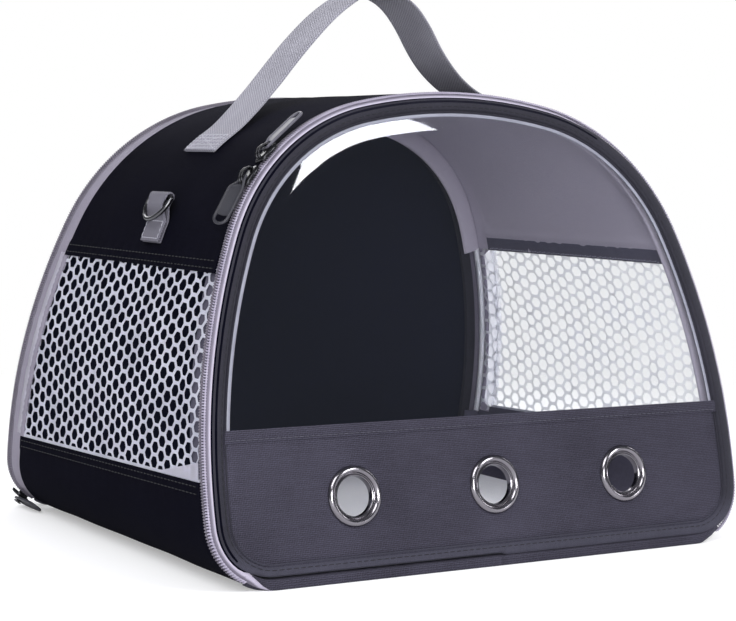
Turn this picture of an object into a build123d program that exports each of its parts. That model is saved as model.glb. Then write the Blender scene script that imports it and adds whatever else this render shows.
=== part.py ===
from build123d import *
from math import acos, cos, degrees, radians, sin, tan
import os

# Soft-sided bird travel carrier: an arched fabric tunnel with a flat base and two zipped end doors.
# Frame: +Z up, the clear front door faces -Y, and the origin is the middle of the base at floor level.
# Both doors lean towards each other. "Growth" is a distance outwards from the outer edge of a door's
# binding, in the door's own leaning plane. "Depth" is a distance behind a door's face, towards the cabin.

# ---------------------------------------------------------------- driving dimensions (mm, degrees)

# the tunnel
base_depth = 253.0          # from door face to door face at floor level
lean_angle = 11.5           # of each door from the vertical
door_height = 216.8         # of a door's binding, along the lean
top_radius = 250.0
top_angle = 12.2            # where the top arc meets the shoulder, from the vertical
shoulder_radius = 99.0
shoulder_angle = 68.0       # where the shoulder meets the side, from the vertical
side_radius = 306.0
corner_radius = 25.0

# the layers of the tunnel's wall
skin_growth = 5.0           # outer face of the outer fabric
skin_thickness = 1.2
mesh_thickness = 1.0
tape_thickness = 0.8
lining_thickness = 0.8
mesh_top = 137.8            # upper seam of the side mesh
mesh_bottom = 44.5          # lower seam of the side mesh, at mid length
mesh_bottom_slope = 1.5     # the lower seam rises towards the front
lining_hem = 8.0            # how far the linings lap over the mesh
front_facing_width = 19.0
back_facing_width = 13.0

# the zips
coil_height = 1.6
coil_width = 2.3            # of each half
zip_gap = 1.2               # between the two halves, where the sliders' webs run
zip_start = 0.9             # depth of the coil's front edge
zip_end_angle = 152.0       # where a zip stops, from the top of the arch
front_tape_lap = 9.0        # of the body's tape under the skin
back_tape_show = 13.0       # of the body's tape seen in front of the back coil
back_tape_lap = 4.0

# the doors
binding_width = 6.0
binding_proud = 1.0
binding_reach = 3.0         # depth of the binding's inner edge
binding_seam = 4.5          # how far a panel goes into the binding
panel_thickness = 1.2
film_thickness = 0.6
panel_top = 71.1            # of the front door's fabric panel, along the lean
film_lap = 8.0              # of the clear film behind the fabric panel
hem_height = 5.5
hem_thickness = 0.6
hinge_clearance = 0.3
sill_depth = 7.2
strip_thickness = 0.8
strip_margin = 2.0

# the eyelets in the front panel
eyelet_spacing = 77.0
eyelet_level = 38.3         # along the lean
eyelet_bore = 9.0           # radius
eyelet_flange = 14.0        # radius
eyelet_wall = 0.9
eyelet_crown = 2.2          # how far the rolled flange stands out
eyelet_grip = 2.4           # from the panel's face to the end of the barrel
eyelet_lip = 0.4            # thickness of the barrel's turned-over end
eyelet_lip_width = 1.8
washer_radius = 13.2
washer_thickness = 0.8

# rim stiffeners
hoop_radius = 1.2
hoop_growth = 0.4
hoop_depth = 9.5
sleeve_thickness = 3.2
sleeve_inner = -8.0         # growth of the sleeve's free edge
hoop_clearance = 0.05

# base
board_thickness = 3.0
board_side_margin = 2.7     # from the linings' lower edges to the board
board_margin = 1.2          # from the sills to the board's and the mat's ends
mat_thickness = 5.2
mat_round = 1.7             # of the mat's upper edge
mat_corner = 10.0
board_corner = 4.0

# handle
webbing_width = 33.0
webbing_thickness = 1.6
handle_y = -12.5
anchor_start_angle = 45.0   # stitched end on the shoulder, from the vertical
anchor_end_angle = 38.5     # where the webbing leaves the roof
handle_split_left = -66.0   # where the loop starts to tip
handle_split_right = 44.0
handle_split_gap = 0.6
handle_route = [            # across the tunnel, and up from the roof's top
    (-72.0, -1.75), (-48.0, 26.75), (-29.0, 44.25), (-11.5, 52.95), (5.0, 48.75),
    (16.0, 38.25), (28.0, 18.75), (42.0, 5.25), (60.0, -2.45), (80.0, -12.95),
]
handle_lead = 9.0           # straight run where the webbing leaves the roof
bend_share = 0.45           # of the shorter run, taken by each bend

# D-rings and their tabs
tab_width = 19.6
tab_thickness = 1.2
tab_y = -19.5
tab_bottom_angle = 69.4     # of the stitched part, from the vertical
tab_lift_angle = 66.0       # where the two layers part
bar_rise = 10.7             # from where the layers part to the ring's bar, along the wall
bar_standoff = 3.1          # of the bar, outwards from where the layers part
loop_clearance = 0.15
waist_radius = 5.7          # the ring draws the tab in below its bar
waist_depth = 1.9
waist_drop = 6.0            # from the bar to the waist
ring_wire = 1.1             # radius
ring_clearance = 0.3        # from the tab's edges to the ring
ring_corner = 1.3           # bend radius at the bar's ends
ring_tilt = 34.0            # from hanging straight down, held out by the tab

# sliders
slider_length = 11.0
slider_width = 9.2
slider_plate = 1.1
slider_corner = 2.4
slider_lift = 0.9           # between the coil and the top plate
slider_clearance = 0.3
keel_clearance = 0.7        # under the tapes
slider_web = 0.6
slider_web_length = 6.0
slider_keel_width = 4.5
slider_hook_length = 3.0    # of the keel under the door's half, at its upper end
upper_slider_angle = 44.0
lower_slider_angle = 52.0
back_slider_angle = 140.5
bridge_length = 7.0
bridge_post = 1.2
bridge_bar = 0.9
bridge_width = 1.6

# pulls
pull_length = 26.0
pull_width = 6.0
pull_thickness = 1.2
pull_end_radius = 2.9
pull_hole = 1.8             # radius
pull_hole_inset = 3.3
pull_tilt = 5.0             # towards the fabric
pull_rise = 0.5             # from the slider's top plate to a pull
pull_pin = 0.5              # radius
pull_pin_shift = 1.5        # from the slider's middle
pull_slot_length = 5.6
pull_slot_width = 2.6
swivel_post = 1.2           # radius
swivel_cap = 2.1            # radius
swivel_cap_height = 0.8
swivel_rise = 1.1           # from the middle of the top plate to the swivelling pull
swivel_clearance = 0.3

os.makedirs("parts", exist_ok=True)

# ---------------------------------------------------------------- derived levels

lean = radians(lean_angle)
tape_growth = skin_growth - skin_thickness
facing_growth = tape_growth - tape_thickness
cabin_growth = facing_growth - lining_thickness
coil_growth = tape_growth + coil_height
door_coil_end = zip_start + coil_width
body_coil_start = door_coil_end + zip_gap
skin_start = body_coil_start + coil_width
back_skin_start = skin_start + back_tape_show
zip_middle = door_coil_end + zip_gap / 2
door_lift = skin_growth + zip_middle * tan(lean)
door_top = door_lift + door_height
floor_top = skin_thickness * cos(lean)
upright = 90.0              # the vertical, as an arc's angle from +X

front_plane = Plane(
    origin=(0, -base_depth / 2, 0), x_dir=(1, 0, 0), z_dir=(0, -cos(lean), sin(lean))
)
back_plane = Plane(
    origin=(0, base_depth / 2, 0), x_dir=(-1, 0, 0), z_dir=(0, cos(lean), sin(lean))
)


def front_at(depth):
    """Plane parallel to the front door, at a depth behind its face."""
    return front_plane.offset(-depth)


def back_at(depth):
    """Plane parallel to the back door, at a depth behind its face."""
    return back_plane.offset(-depth)


def body_at(depth):
    """Like front_at, but slid along Y, so that tunnel sections stay in line with each other."""
    seam = front_at(zip_middle)
    slide = (depth - zip_middle) / cos(lean)
    return Plane(origin=seam.origin + Vector(0, slide, 0), x_dir=(1, 0, 0), z_dir=seam.z_dir)


def polar(radius, angle):
    """Point at an angle from the vertical, towards +X."""
    return Vector(radius * sin(radians(angle)), radius * cos(radians(angle)))


# ---------------------------------------------------------------- the arched outline

top_centre = Vector(0, door_top - top_radius)
shoulder_centre = top_centre + polar(top_radius - shoulder_radius, top_angle)
side_centre = shoulder_centre - polar(side_radius - shoulder_radius, shoulder_angle)
corner_level = door_lift + corner_radius
side_angle = degrees(acos((corner_level - side_centre.Y) / (side_radius - corner_radius)))
corner_centre = side_centre + polar(side_radius - corner_radius, side_angle)

rim_arcs = [
    (top_centre, top_radius, 0, top_angle),
    (shoulder_centre, shoulder_radius, top_angle, shoulder_angle),
    (side_centre, side_radius, shoulder_angle, side_angle),
    (corner_centre, corner_radius, side_angle, 180),
]


def half_rim(side, growth, last_angle):
    """Draw one half of the rim, from the top down to last_angle, in the enclosing BuildLine."""
    for centre, radius, start, end in rim_arcs:
        stop = min(end, last_angle)
        first = upright - stop if side > 0 else upright + start
        CenterArc((side * centre.X, centre.Y), radius + growth, first, stop - start)


def rim_point(side, angle, growth):
    """Point of the rim at an angle from the vertical."""
    for centre, radius, _, end in rim_arcs:
        if angle <= end:
            point = centre + polar(radius + growth, angle)
            return (side * point.X, point.Y)


def closed_rim(growth):
    """Draw the whole rim, with its straight base, in the enclosing BuildLine."""
    half_rim(1, growth, 180)
    half_rim(-1, growth, 180)
    Line(rim_point(1, 180, growth), rim_point(-1, 180, growth))


def rim_disc(growth, plane):
    """Whole face of the arch."""
    with BuildSketch(plane) as disc:
        with BuildLine():
            closed_rim(growth)
        make_face()
    return disc.sketch


def rim_band(outer, inner, plane):
    """Closed band between two growths."""
    with BuildSketch(plane) as band:
        with BuildLine():
            closed_rim(outer)
        make_face()
        with BuildLine():
            closed_rim(inner)
        make_face(mode=Mode.SUBTRACT)
    return band.sketch


def arch_band(outer, inner, plane):
    """Band that stops where the zips stop, open at the base."""
    with BuildSketch(plane) as band:
        with BuildLine():
            for growth in (outer, inner):
                half_rim(1, growth, zip_end_angle)
                half_rim(-1, growth, zip_end_angle)
            for side in (1, -1):
                Line(rim_point(side, zip_end_angle, outer), rim_point(side, zip_end_angle, inner))
        make_face()
    return band.sketch


def rim_sector(centre, radius, angle, length, outer, inner, plane):
    """Short piece of band on the left, length along the rim, centred on an angle."""
    spread = degrees(length / (radius + tape_growth))
    first = upright + angle - spread / 2
    middle = Vector(-centre.X, centre.Y)
    with BuildSketch(plane) as sector:
        with BuildLine():
            high = CenterArc(middle, radius + outer, first, spread)
            low = CenterArc(middle, radius + inner, first, spread)
            Line(high @ 0, low @ 0)
            Line(high @ 1, low @ 1)
        make_face()
    return sector.sketch


def tunnel(face, front_depth, back_depth):
    """Run a face drawn on body_at(zip_middle) along the tunnel, and cut it parallel to both doors."""
    extrude(face, amount=base_depth, dir=(0, 1, 0))
    split(bisect_by=front_at(front_depth), keep=Keep.BOTTOM)
    split(bisect_by=back_at(back_depth), keep=Keep.BOTTOM)


def front_ring(face, start, end):
    """Run a face drawn on body_at(zip_middle) along Y between two depths behind the front door."""
    extrude(face, amount=base_depth, dir=(0, 1, 0))
    split(bisect_by=front_at(start), keep=Keep.BOTTOM)
    split(bisect_by=front_at(end), keep=Keep.TOP)


def save(part, name):
    """Label a finished piece and write it."""
    part.label = name
    export_step(part, f"parts/{name}.step")


seam_plane = body_at(zip_middle)
mesh_sill = Plane(
    origin=(0, 0, mesh_bottom),
    x_dir=(1, 0, 0),
    z_dir=(0, sin(radians(mesh_bottom_slope)), cos(radians(mesh_bottom_slope))),
)
floor_half_width = corner_centre.X

# ---------------------------------------------------------------- outer fabric and mesh

with BuildPart() as roof_panel:
    tunnel(rim_band(skin_growth, tape_growth, seam_plane), skin_start, back_skin_start)
    split(bisect_by=Plane.XY.offset(mesh_top), keep=Keep.TOP)
save(roof_panel.part, "roof_panel")

with BuildPart() as side_mesh_right:
    tunnel(
        rim_band(tape_growth + mesh_thickness, tape_growth, seam_plane), skin_start, back_skin_start
    )
    split(bisect_by=Plane.XY.offset(mesh_top), keep=Keep.BOTTOM)
    split(bisect_by=mesh_sill, keep=Keep.TOP)
    split(bisect_by=Plane.YZ, keep=Keep.TOP)
save(side_mesh_right.part, "side_mesh_right")

with BuildPart() as side_mesh_left:
    mirror(side_mesh_right.part, about=Plane.YZ)
save(side_mesh_left.part, "side_mesh_left")

with BuildPart() as lower_side_right:
    tunnel(rim_band(skin_growth, tape_growth, seam_plane), skin_start, back_skin_start)
    split(bisect_by=mesh_sill, keep=Keep.BOTTOM)
    split(bisect_by=Plane.YZ.offset(floor_half_width), keep=Keep.TOP)
save(lower_side_right.part, "lower_side_right")

with BuildPart() as lower_side_left:
    mirror(lower_side_right.part, about=Plane.YZ)
save(lower_side_left.part, "lower_side_left")

with BuildPart() as floor_panel:
    tunnel(rim_band(skin_growth, tape_growth, seam_plane), skin_start, skin_start)
    split(bisect_by=Plane.XY.offset(corner_level), keep=Keep.BOTTOM)
    split(bisect_by=Plane.YZ.offset(floor_half_width), keep=Keep.BOTTOM)
    split(bisect_by=Plane.YZ.offset(-floor_half_width), keep=Keep.TOP)
save(floor_panel.part, "floor_panel")

# ---------------------------------------------------------------- linings and facings

lining_face = rim_band(facing_growth, cabin_growth, seam_plane)
front_lining_start = skin_start + front_facing_width
back_lining_start = skin_start + back_facing_width

with BuildPart() as roof_lining:
    tunnel(lining_face, front_lining_start, back_lining_start)
    split(bisect_by=Plane.XY.offset(mesh_top - lining_hem), keep=Keep.TOP)
save(roof_lining.part, "roof_lining")

with BuildPart() as lower_lining_right:
    tunnel(lining_face, front_lining_start, back_lining_start)
    split(bisect_by=mesh_sill.offset(lining_hem), keep=Keep.BOTTOM)
    split(bisect_by=Plane.YZ.offset(floor_half_width), keep=Keep.TOP)
save(lower_lining_right.part, "lower_lining_right")

with BuildPart() as lower_lining_left:
    mirror(lower_lining_right.part, about=Plane.YZ)
save(lower_lining_left.part, "lower_lining_left")

facing_face = arch_band(facing_growth, cabin_growth, seam_plane)

with BuildPart() as front_facing:
    front_ring(facing_face, skin_start, front_lining_start)
save(front_facing.part, "front_facing")

with BuildPart() as back_facing:
    front_ring(facing_face, skin_start, back_lining_start)
    mirror(about=Plane.XZ, mode=Mode.REPLACE)
save(back_facing.part, "back_facing")

# ---------------------------------------------------------------- rim stiffeners in their sleeves

with BuildPart() as front_hoop:
    with BuildLine(body_at(hoop_depth)) as hoop_path:
        half_rim(1, hoop_growth, zip_end_angle)
        half_rim(-1, hoop_growth, zip_end_angle)
    hoop_wire = hoop_path.wires()[0]
    with BuildSketch(Plane(origin=hoop_wire @ 0, z_dir=hoop_wire % 0)):
        Circle(hoop_radius)
    sweep(path=hoop_wire)
save(front_hoop.part, "front_hoop")

with BuildPart() as hoop_bore:
    with BuildSketch(Plane(origin=hoop_wire @ 0, z_dir=hoop_wire % 0)):
        Circle(hoop_radius + hoop_clearance)
    sweep(path=hoop_wire)

with BuildPart() as front_sleeve:
    front_ring(
        arch_band(cabin_growth, sleeve_inner, seam_plane),
        hoop_depth - sleeve_thickness / 2,
        hoop_depth + sleeve_thickness / 2,
    )
    add(hoop_bore.part, mode=Mode.SUBTRACT)
save(front_sleeve.part, "front_sleeve")

for name, source in (("back_hoop", front_hoop), ("back_sleeve", front_sleeve)):
    with BuildPart() as back_copy:
        mirror(source.part, about=Plane.XZ)
    save(back_copy.part, name)

# ---------------------------------------------------------------- zips: tapes and coil halves

tape_face = arch_band(tape_growth, facing_growth, seam_plane)
coil_face = arch_band(coil_growth, tape_growth, seam_plane)

with BuildPart() as front_body_tape:
    front_ring(tape_face, body_coil_start, skin_start + front_tape_lap)
save(front_body_tape.part, "front_body_tape")

with BuildPart() as back_body_tape:
    front_ring(tape_face, body_coil_start, back_skin_start + back_tape_lap)
    mirror(about=Plane.XZ, mode=Mode.REPLACE)
save(back_body_tape.part, "back_body_tape")

with BuildPart() as front_body_coil:
    front_ring(coil_face, body_coil_start, skin_start)
save(front_body_coil.part, "front_body_coil")

with BuildPart() as front_door_coil:
    extrude(arch_band(coil_growth, tape_growth, front_at(zip_start)), amount=-coil_width)
save(front_door_coil.part, "front_door_coil")

with BuildPart() as front_door_tape:
    extrude(arch_band(tape_growth, 0, front_at(zip_start)), amount=tape_thickness)
    extrude(arch_band(tape_growth, facing_growth, front_at(zip_start)), amount=-coil_width)
save(front_door_tape.part, "front_door_tape")

for name, source in (
    ("back_body_coil", front_body_coil),
    ("back_door_coil", front_door_coil),
    ("back_door_tape", front_door_tape),
):
    with BuildPart() as back_copy:
        mirror(source.part, about=Plane.XZ)
    save(back_copy.part, name)

# ---------------------------------------------------------------- doors

panel_face = panel_thickness / 2        # how far a panel stands in front of the door's face
panel_growth = binding_seam - binding_width
panel_end_plane = Plane(
    origin=front_plane.from_local_coords(Vector(0, panel_top, 0)),
    x_dir=(1, 0, 0),
    z_dir=front_plane.y_dir,
)
film_end_plane = panel_end_plane.offset(-film_lap)

with BuildPart() as front_panel:
    extrude(rim_disc(panel_growth, front_at(-panel_face)), amount=-panel_thickness)
    split(bisect_by=panel_end_plane, keep=Keep.BOTTOM)
    with BuildSketch(front_at(-panel_face)):
        with Locations(*[(place * eyelet_spacing, eyelet_level) for place in (-1, 0, 1)]):
            Circle(eyelet_bore + eyelet_wall)
    extrude(amount=-panel_thickness, mode=Mode.SUBTRACT)
save(front_panel.part, "front_panel")

with BuildPart() as front_panel_hem:
    extrude(rim_disc(panel_growth, front_at(-panel_face)), amount=hem_thickness)
    split(bisect_by=panel_end_plane, keep=Keep.BOTTOM)
    split(bisect_by=panel_end_plane.offset(-hem_height), keep=Keep.TOP)
save(front_panel_hem.part, "front_panel_hem")

with BuildPart() as window_film:
    extrude(rim_disc(panel_growth, front_at(panel_face)), amount=-film_thickness)
    split(bisect_by=film_end_plane, keep=Keep.TOP)
save(window_film.part, "window_film")

with BuildPart() as front_binding:
    extrude(
        rim_band(0, -binding_width, front_at(-binding_proud)),
        amount=-(binding_proud + binding_reach),
    )
    for panel in (front_panel, front_panel_hem, window_film):
        add(panel.part, mode=Mode.SUBTRACT)
save(front_binding.part, "front_binding")

with BuildPart() as back_panel:
    extrude(rim_disc(panel_growth, front_at(-panel_face)), amount=-panel_thickness)
    mirror(about=Plane.XZ, mode=Mode.REPLACE)
save(back_panel.part, "back_panel")

with BuildPart() as back_binding:
    extrude(
        rim_band(0, -binding_width, front_at(-binding_proud)),
        amount=-(binding_proud + binding_reach),
    )
    mirror(about=Plane.XZ, mode=Mode.REPLACE)
    add(back_panel.part, mode=Mode.SUBTRACT)
save(back_binding.part, "back_binding")

# ---------------------------------------------------------------- sills and fabric hinges

with BuildPart() as front_sill:
    with BuildSketch(front_at(skin_start)):
        with BuildLine():
            Polyline(
                (-floor_half_width, -door_lift),
                (floor_half_width, -door_lift),
                (floor_half_width, door_lift - hinge_clearance),
                (-floor_half_width, door_lift - hinge_clearance),
                close=True,
            )
        make_face()
    extrude(amount=sill_depth)
    split(bisect_by=Plane.XY, keep=Keep.TOP)
save(front_sill.part, "front_sill")

with BuildPart() as front_hinge_strip:
    with BuildSketch(front_at(skin_start - sill_depth)):
        with BuildLine():
            Polyline(
                (-floor_half_width + strip_margin, strip_margin),
                (floor_half_width - strip_margin, strip_margin),
                (floor_half_width - strip_margin, door_lift - hinge_clearance),
                (-floor_half_width + strip_margin, door_lift - hinge_clearance),
                close=True,
            )
        make_face()
    extrude(amount=strip_thickness)
save(front_hinge_strip.part, "front_hinge_strip")

for name, source in (("back_sill", front_sill), ("back_hinge_strip", front_hinge_strip)):
    with BuildPart() as back_copy:
        mirror(source.part, about=Plane.XZ)
    save(back_copy.part, name)

# ---------------------------------------------------------------- eyelets

roll = (eyelet_flange - eyelet_bore) / 2

for name, place in (("eyelet_left", -1), ("eyelet_middle", 0), ("eyelet_right", 1)):
    seat = front_plane.from_local_coords(Vector(place * eyelet_spacing, eyelet_level, panel_face))
    section = Plane(origin=seat, x_dir=(1, 0, 0), z_dir=-front_plane.y_dir)
    with BuildPart() as eyelet:
        with BuildSketch(section):
            with BuildLine():
                Line((eyelet_bore, -eyelet_grip), (eyelet_bore, 0))
                ThreePointArc(
                    (eyelet_bore, 0), (eyelet_bore + roll, eyelet_crown), (eyelet_flange, 0)
                )
                Line((eyelet_flange, 0), (eyelet_bore + eyelet_wall, 0))
                Polyline(
                    (eyelet_bore + eyelet_wall, 0),
                    (eyelet_bore + eyelet_wall, eyelet_lip - eyelet_grip),
                    (eyelet_bore + eyelet_lip_width, eyelet_lip - eyelet_grip),
                    (eyelet_bore + eyelet_lip_width, -eyelet_grip),
                    (eyelet_bore, -eyelet_grip),
                )
            make_face()
        revolve(axis=Axis(seat, front_plane.z_dir))
    save(eyelet.part, name)

with BuildPart() as eyelet_washers:
    with BuildSketch(front_at(panel_thickness - panel_face)):
        with Locations(*[(place * eyelet_spacing, eyelet_level) for place in (-1, 0, 1)]):
            Circle(washer_radius)
            Circle(eyelet_bore + eyelet_wall, mode=Mode.SUBTRACT)
    extrude(amount=-washer_thickness)
save(eyelet_washers.part, "eyelet_washers")

# ---------------------------------------------------------------- base board and mat

base_half_length = base_depth / 2 - (skin_start + board_margin) / cos(lean)

with BuildPart() as base_board:
    with BuildSketch(Plane.XY.offset(floor_top)):
        RectangleRounded(
            2 * (floor_half_width - board_side_margin), 2 * base_half_length, board_corner
        )
    extrude(amount=board_thickness)
save(base_board.part, "base_board")

with BuildPart() as floor_mat:
    with BuildSketch(Plane.XY.offset(floor_top + board_thickness)):
        RectangleRounded(2 * floor_half_width, 2 * base_half_length, mat_corner)
    extrude(amount=mat_thickness)
    fillet(floor_mat.faces().sort_by(Axis.Z)[-1].edges(), radius=mat_round)
save(floor_mat.part, "floor_mat")

# ---------------------------------------------------------------- handle


def wall_point(side, angle, growth):
    """Point of the tunnel's section, in the world's X and Z."""
    x, along = rim_point(side, angle, growth)
    return Vector(x, along * cos(lean) + seam_plane.origin.Z)


roof_top = wall_point(1, 0, skin_growth)
handle_growth = skin_growth + webbing_thickness / 2
anchor_middle_angle = (anchor_start_angle + anchor_end_angle) / 2
anchor_angles = (anchor_start_angle, anchor_middle_angle, anchor_end_angle)
anchor_left = [wall_point(-1, angle, handle_growth) for angle in anchor_angles]
anchor_right = [wall_point(1, angle, handle_growth) for angle in reversed(anchor_angles)]


def bend_radii(points):
    """Evenly large bends, as the runs of a route leave room for."""
    radii = []
    for before, corner, after in zip(points, points[1:], points[2:]):
        run_in = corner - before
        run_out = after - corner
        turn = radians(run_in.get_angle(run_out))
        radii.append(bend_share * min(run_in.length, run_out.length) / tan(turn / 2))
    return radii


with BuildPart() as webbing:
    with BuildSketch(Plane.XZ.offset(webbing_width / 2 - handle_y)):
        with BuildLine():
            lead_in = ThreePointArc(*anchor_left)
            lead_out = ThreePointArc(*anchor_right)
            route = [
                lead_in @ 1,
                lead_in @ 1 + (lead_in % 1) * handle_lead,
                *[roof_top + Vector(*point) for point in handle_route],
                lead_out @ 0 - (lead_out % 0) * handle_lead,
                lead_out @ 0,
            ]
            FilletPolyline(*route, radius=bend_radii(route))
        trace(line_width=webbing_thickness)
    extrude(amount=-webbing_width)
    extrude(rim_disc(skin_growth, seam_plane), amount=base_depth, dir=(0, 1, 0), mode=Mode.SUBTRACT)

left_split = Plane.YZ.offset(handle_split_left)
right_split = Plane.YZ.offset(handle_split_right)

with BuildPart() as handle_end_left:
    add(webbing.part)
    split(bisect_by=left_split.offset(-handle_split_gap / 2), keep=Keep.BOTTOM)
save(handle_end_left.part, "handle_end_left")

with BuildPart() as handle_end_right:
    add(webbing.part)
    split(bisect_by=right_split.offset(handle_split_gap / 2), keep=Keep.TOP)
save(handle_end_right.part, "handle_end_right")

with BuildPart() as handle_loop:
    add(webbing.part)
    split(bisect_by=left_split.offset(handle_split_gap / 2), keep=Keep.TOP)
    split(bisect_by=right_split.offset(-handle_split_gap / 2), keep=Keep.BOTTOM)
save(handle_loop.part, "handle_loop")

# ---------------------------------------------------------------- D-rings and their tabs

tab_near = Plane.XZ.offset(tab_width / 2 - tab_y)
tab_fork = wall_point(1, tab_lift_angle, skin_growth + tab_thickness)
bar_centre = tab_fork + polar(bar_standoff, tab_lift_angle) + polar(bar_rise, tab_lift_angle - upright)
tab_layers = [
    wall_point(1, tab_bottom_angle, cabin_growth),
    wall_point(1, tab_bottom_angle, skin_growth + 2 * tab_thickness),
    wall_point(1, tab_lift_angle, skin_growth + 2 * tab_thickness),
    wall_point(1, tab_lift_angle, cabin_growth),
]

with BuildSketch(tab_near) as loop_hole:
    with BuildLine():
        CenterArc(bar_centre, ring_wire + loop_clearance, 0, 360)
        Line(tab_fork, tab_fork + Vector(loop_clearance, 0))
    make_hull()

with BuildPart() as ring_tab_right:
    with BuildSketch(tab_near):
        add(loop_hole.sketch_local)
        offset(amount=tab_thickness, mode=Mode.REPLACE)
        with BuildLine():
            Polyline(*tab_layers, close=True)
        make_face()
        add(loop_hole.sketch_local, mode=Mode.SUBTRACT)
    extrude(amount=-tab_width)
    extrude(rim_disc(skin_growth, seam_plane), amount=base_depth, dir=(0, 1, 0), mode=Mode.SUBTRACT)
    with BuildSketch(Plane.YZ) as waist:
        for side in (1, -1):
            edge = tab_width / 2 - waist_depth + waist_radius
            with Locations((tab_y + side * edge, bar_centre.Y - waist_drop)):
                Circle(waist_radius)
    extrude(waist.sketch, amount=base_depth, mode=Mode.SUBTRACT)
save(ring_tab_right.part, "ring_tab_right")

ring_bar = tab_width / 2 + ring_clearance + ring_wire - ring_corner
ring_bow = ring_bar + ring_corner
ring_plane = Plane(
    origin=(bar_centre.X, tab_y, bar_centre.Y),
    x_dir=(0, 1, 0),
    z_dir=(cos(radians(ring_tilt)), 0, sin(radians(ring_tilt))),
)

with BuildPart() as d_ring_right:
    with BuildLine(ring_plane) as ring_path:
        Line((-ring_bar, 0), (ring_bar, 0))
        CenterArc((ring_bar, -ring_corner), ring_corner, 0, 90)
        CenterArc((0, -ring_corner), ring_bow, 180, 180)
        CenterArc((-ring_bar, -ring_corner), ring_corner, 90, 90)
    ring_wire_path = ring_path.wires()[0]
    with BuildSketch(Plane(origin=ring_wire_path @ 0, z_dir=ring_wire_path % 0)):
        Circle(ring_wire)
    sweep(path=ring_wire_path)
save(d_ring_right.part, "d_ring_right")

for name, source in (("ring_tab_left", ring_tab_right), ("d_ring_left", d_ring_right)):
    with BuildPart() as left_copy:
        mirror(source.part, about=Plane.YZ)
    save(left_copy.part, name)

# ---------------------------------------------------------------- sliders and pulls

plate_underside = coil_growth + slider_lift
plate_growth = plate_underside + slider_plate
keel_growth = facing_growth - keel_clearance
pin_growth = plate_growth + pull_rise + pull_thickness / 2
bridge_underside = pin_growth + pull_pin + slider_clearance


def zip_plane(centre, radius, angle, growth, direction):
    """Plane on the left of the arch: X along the rim (up the arch for 1), Z outwards."""
    foot = centre + polar(radius + growth, angle)
    upward = front_plane.x_dir * cos(radians(angle)) + front_plane.y_dir * sin(radians(angle))
    outward = front_plane.y_dir * cos(radians(angle)) - front_plane.x_dir * sin(radians(angle))
    origin = front_plane.from_local_coords(Vector(-foot.X, foot.Y, -zip_middle))
    return Plane(origin=origin, x_dir=upward * direction, z_dir=outward)


def slider_slab(centre, radius, angle, length, start, width, outer, inner):
    """Curved block across the zip, its front face at a depth."""
    extrude(
        rim_sector(centre, radius, angle, length, outer, inner, front_at(start)), amount=-width
    )


def slider_shell(centre, radius, angle):
    """Top plate, web and keel of a slider."""
    plate_start = zip_middle - slider_width / 2
    web_start = zip_middle - slider_web / 2
    keel_start = zip_middle - slider_keel_width / 2
    keel_inner = keel_growth - slider_plate
    hook_shift = degrees((slider_length - slider_hook_length) / 2 / (radius + tape_growth))
    slider_slab(
        centre,
        radius,
        angle,
        slider_length,
        plate_start,
        slider_width,
        plate_growth,
        plate_underside,
    )
    corners = edges().filter_by(lambda edge: abs(edge.length - slider_plate) < slider_clearance)
    fillet(corners, radius=slider_corner)
    slider_slab(
        centre,
        radius,
        angle,
        slider_web_length,
        web_start,
        slider_web,
        plate_underside,
        keel_growth,
    )
    slider_slab(
        centre,
        radius,
        angle,
        slider_length,
        web_start,
        zip_middle + slider_keel_width / 2 - web_start,
        keel_growth,
        keel_inner,
    )
    slider_slab(
        centre,
        radius,
        angle - hook_shift,
        slider_hook_length,
        keel_start,
        web_start - keel_start,
        keel_growth,
        keel_inner,
    )


def slider_bridge(seat):
    """Loop over the top plate that holds the pull."""
    side = Plane(origin=seat.origin, x_dir=seat.x_dir, z_dir=-seat.y_dir)
    height = bridge_underside + bridge_bar - plate_underside
    opening = bridge_underside - plate_growth
    with BuildSketch(side) as profile:
        with Locations((0, height / 2)):
            Rectangle(bridge_length, height)
        with Locations((0, height - bridge_bar - opening / 2)):
            Rectangle(bridge_length - 2 * bridge_post, opening, mode=Mode.SUBTRACT)
    extrude(profile.sketch, amount=bridge_width / 2, both=True)


def pull_plate(plane, tail):
    """Long plate with a round end, from tail behind the plane's origin."""
    with BuildSketch(plane.offset(-pull_thickness / 2)) as outline:
        with Locations(((pull_length - tail) / 2, 0)):
            Rectangle(pull_length + tail, pull_width)
        fillet(outline.vertices().sort_by(Axis.X)[-2:], radius=pull_end_radius)
        with Locations((pull_length - pull_hole_inset, 0)):
            Circle(pull_hole, mode=Mode.SUBTRACT)
    extrude(outline.sketch, amount=pull_thickness)


front_sliders = (
    ("front_slider_upper", "front_pull_upper", upper_slider_angle, 1),
    ("front_slider_lower", "front_pull_lower", lower_slider_angle, -1),
)

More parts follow.
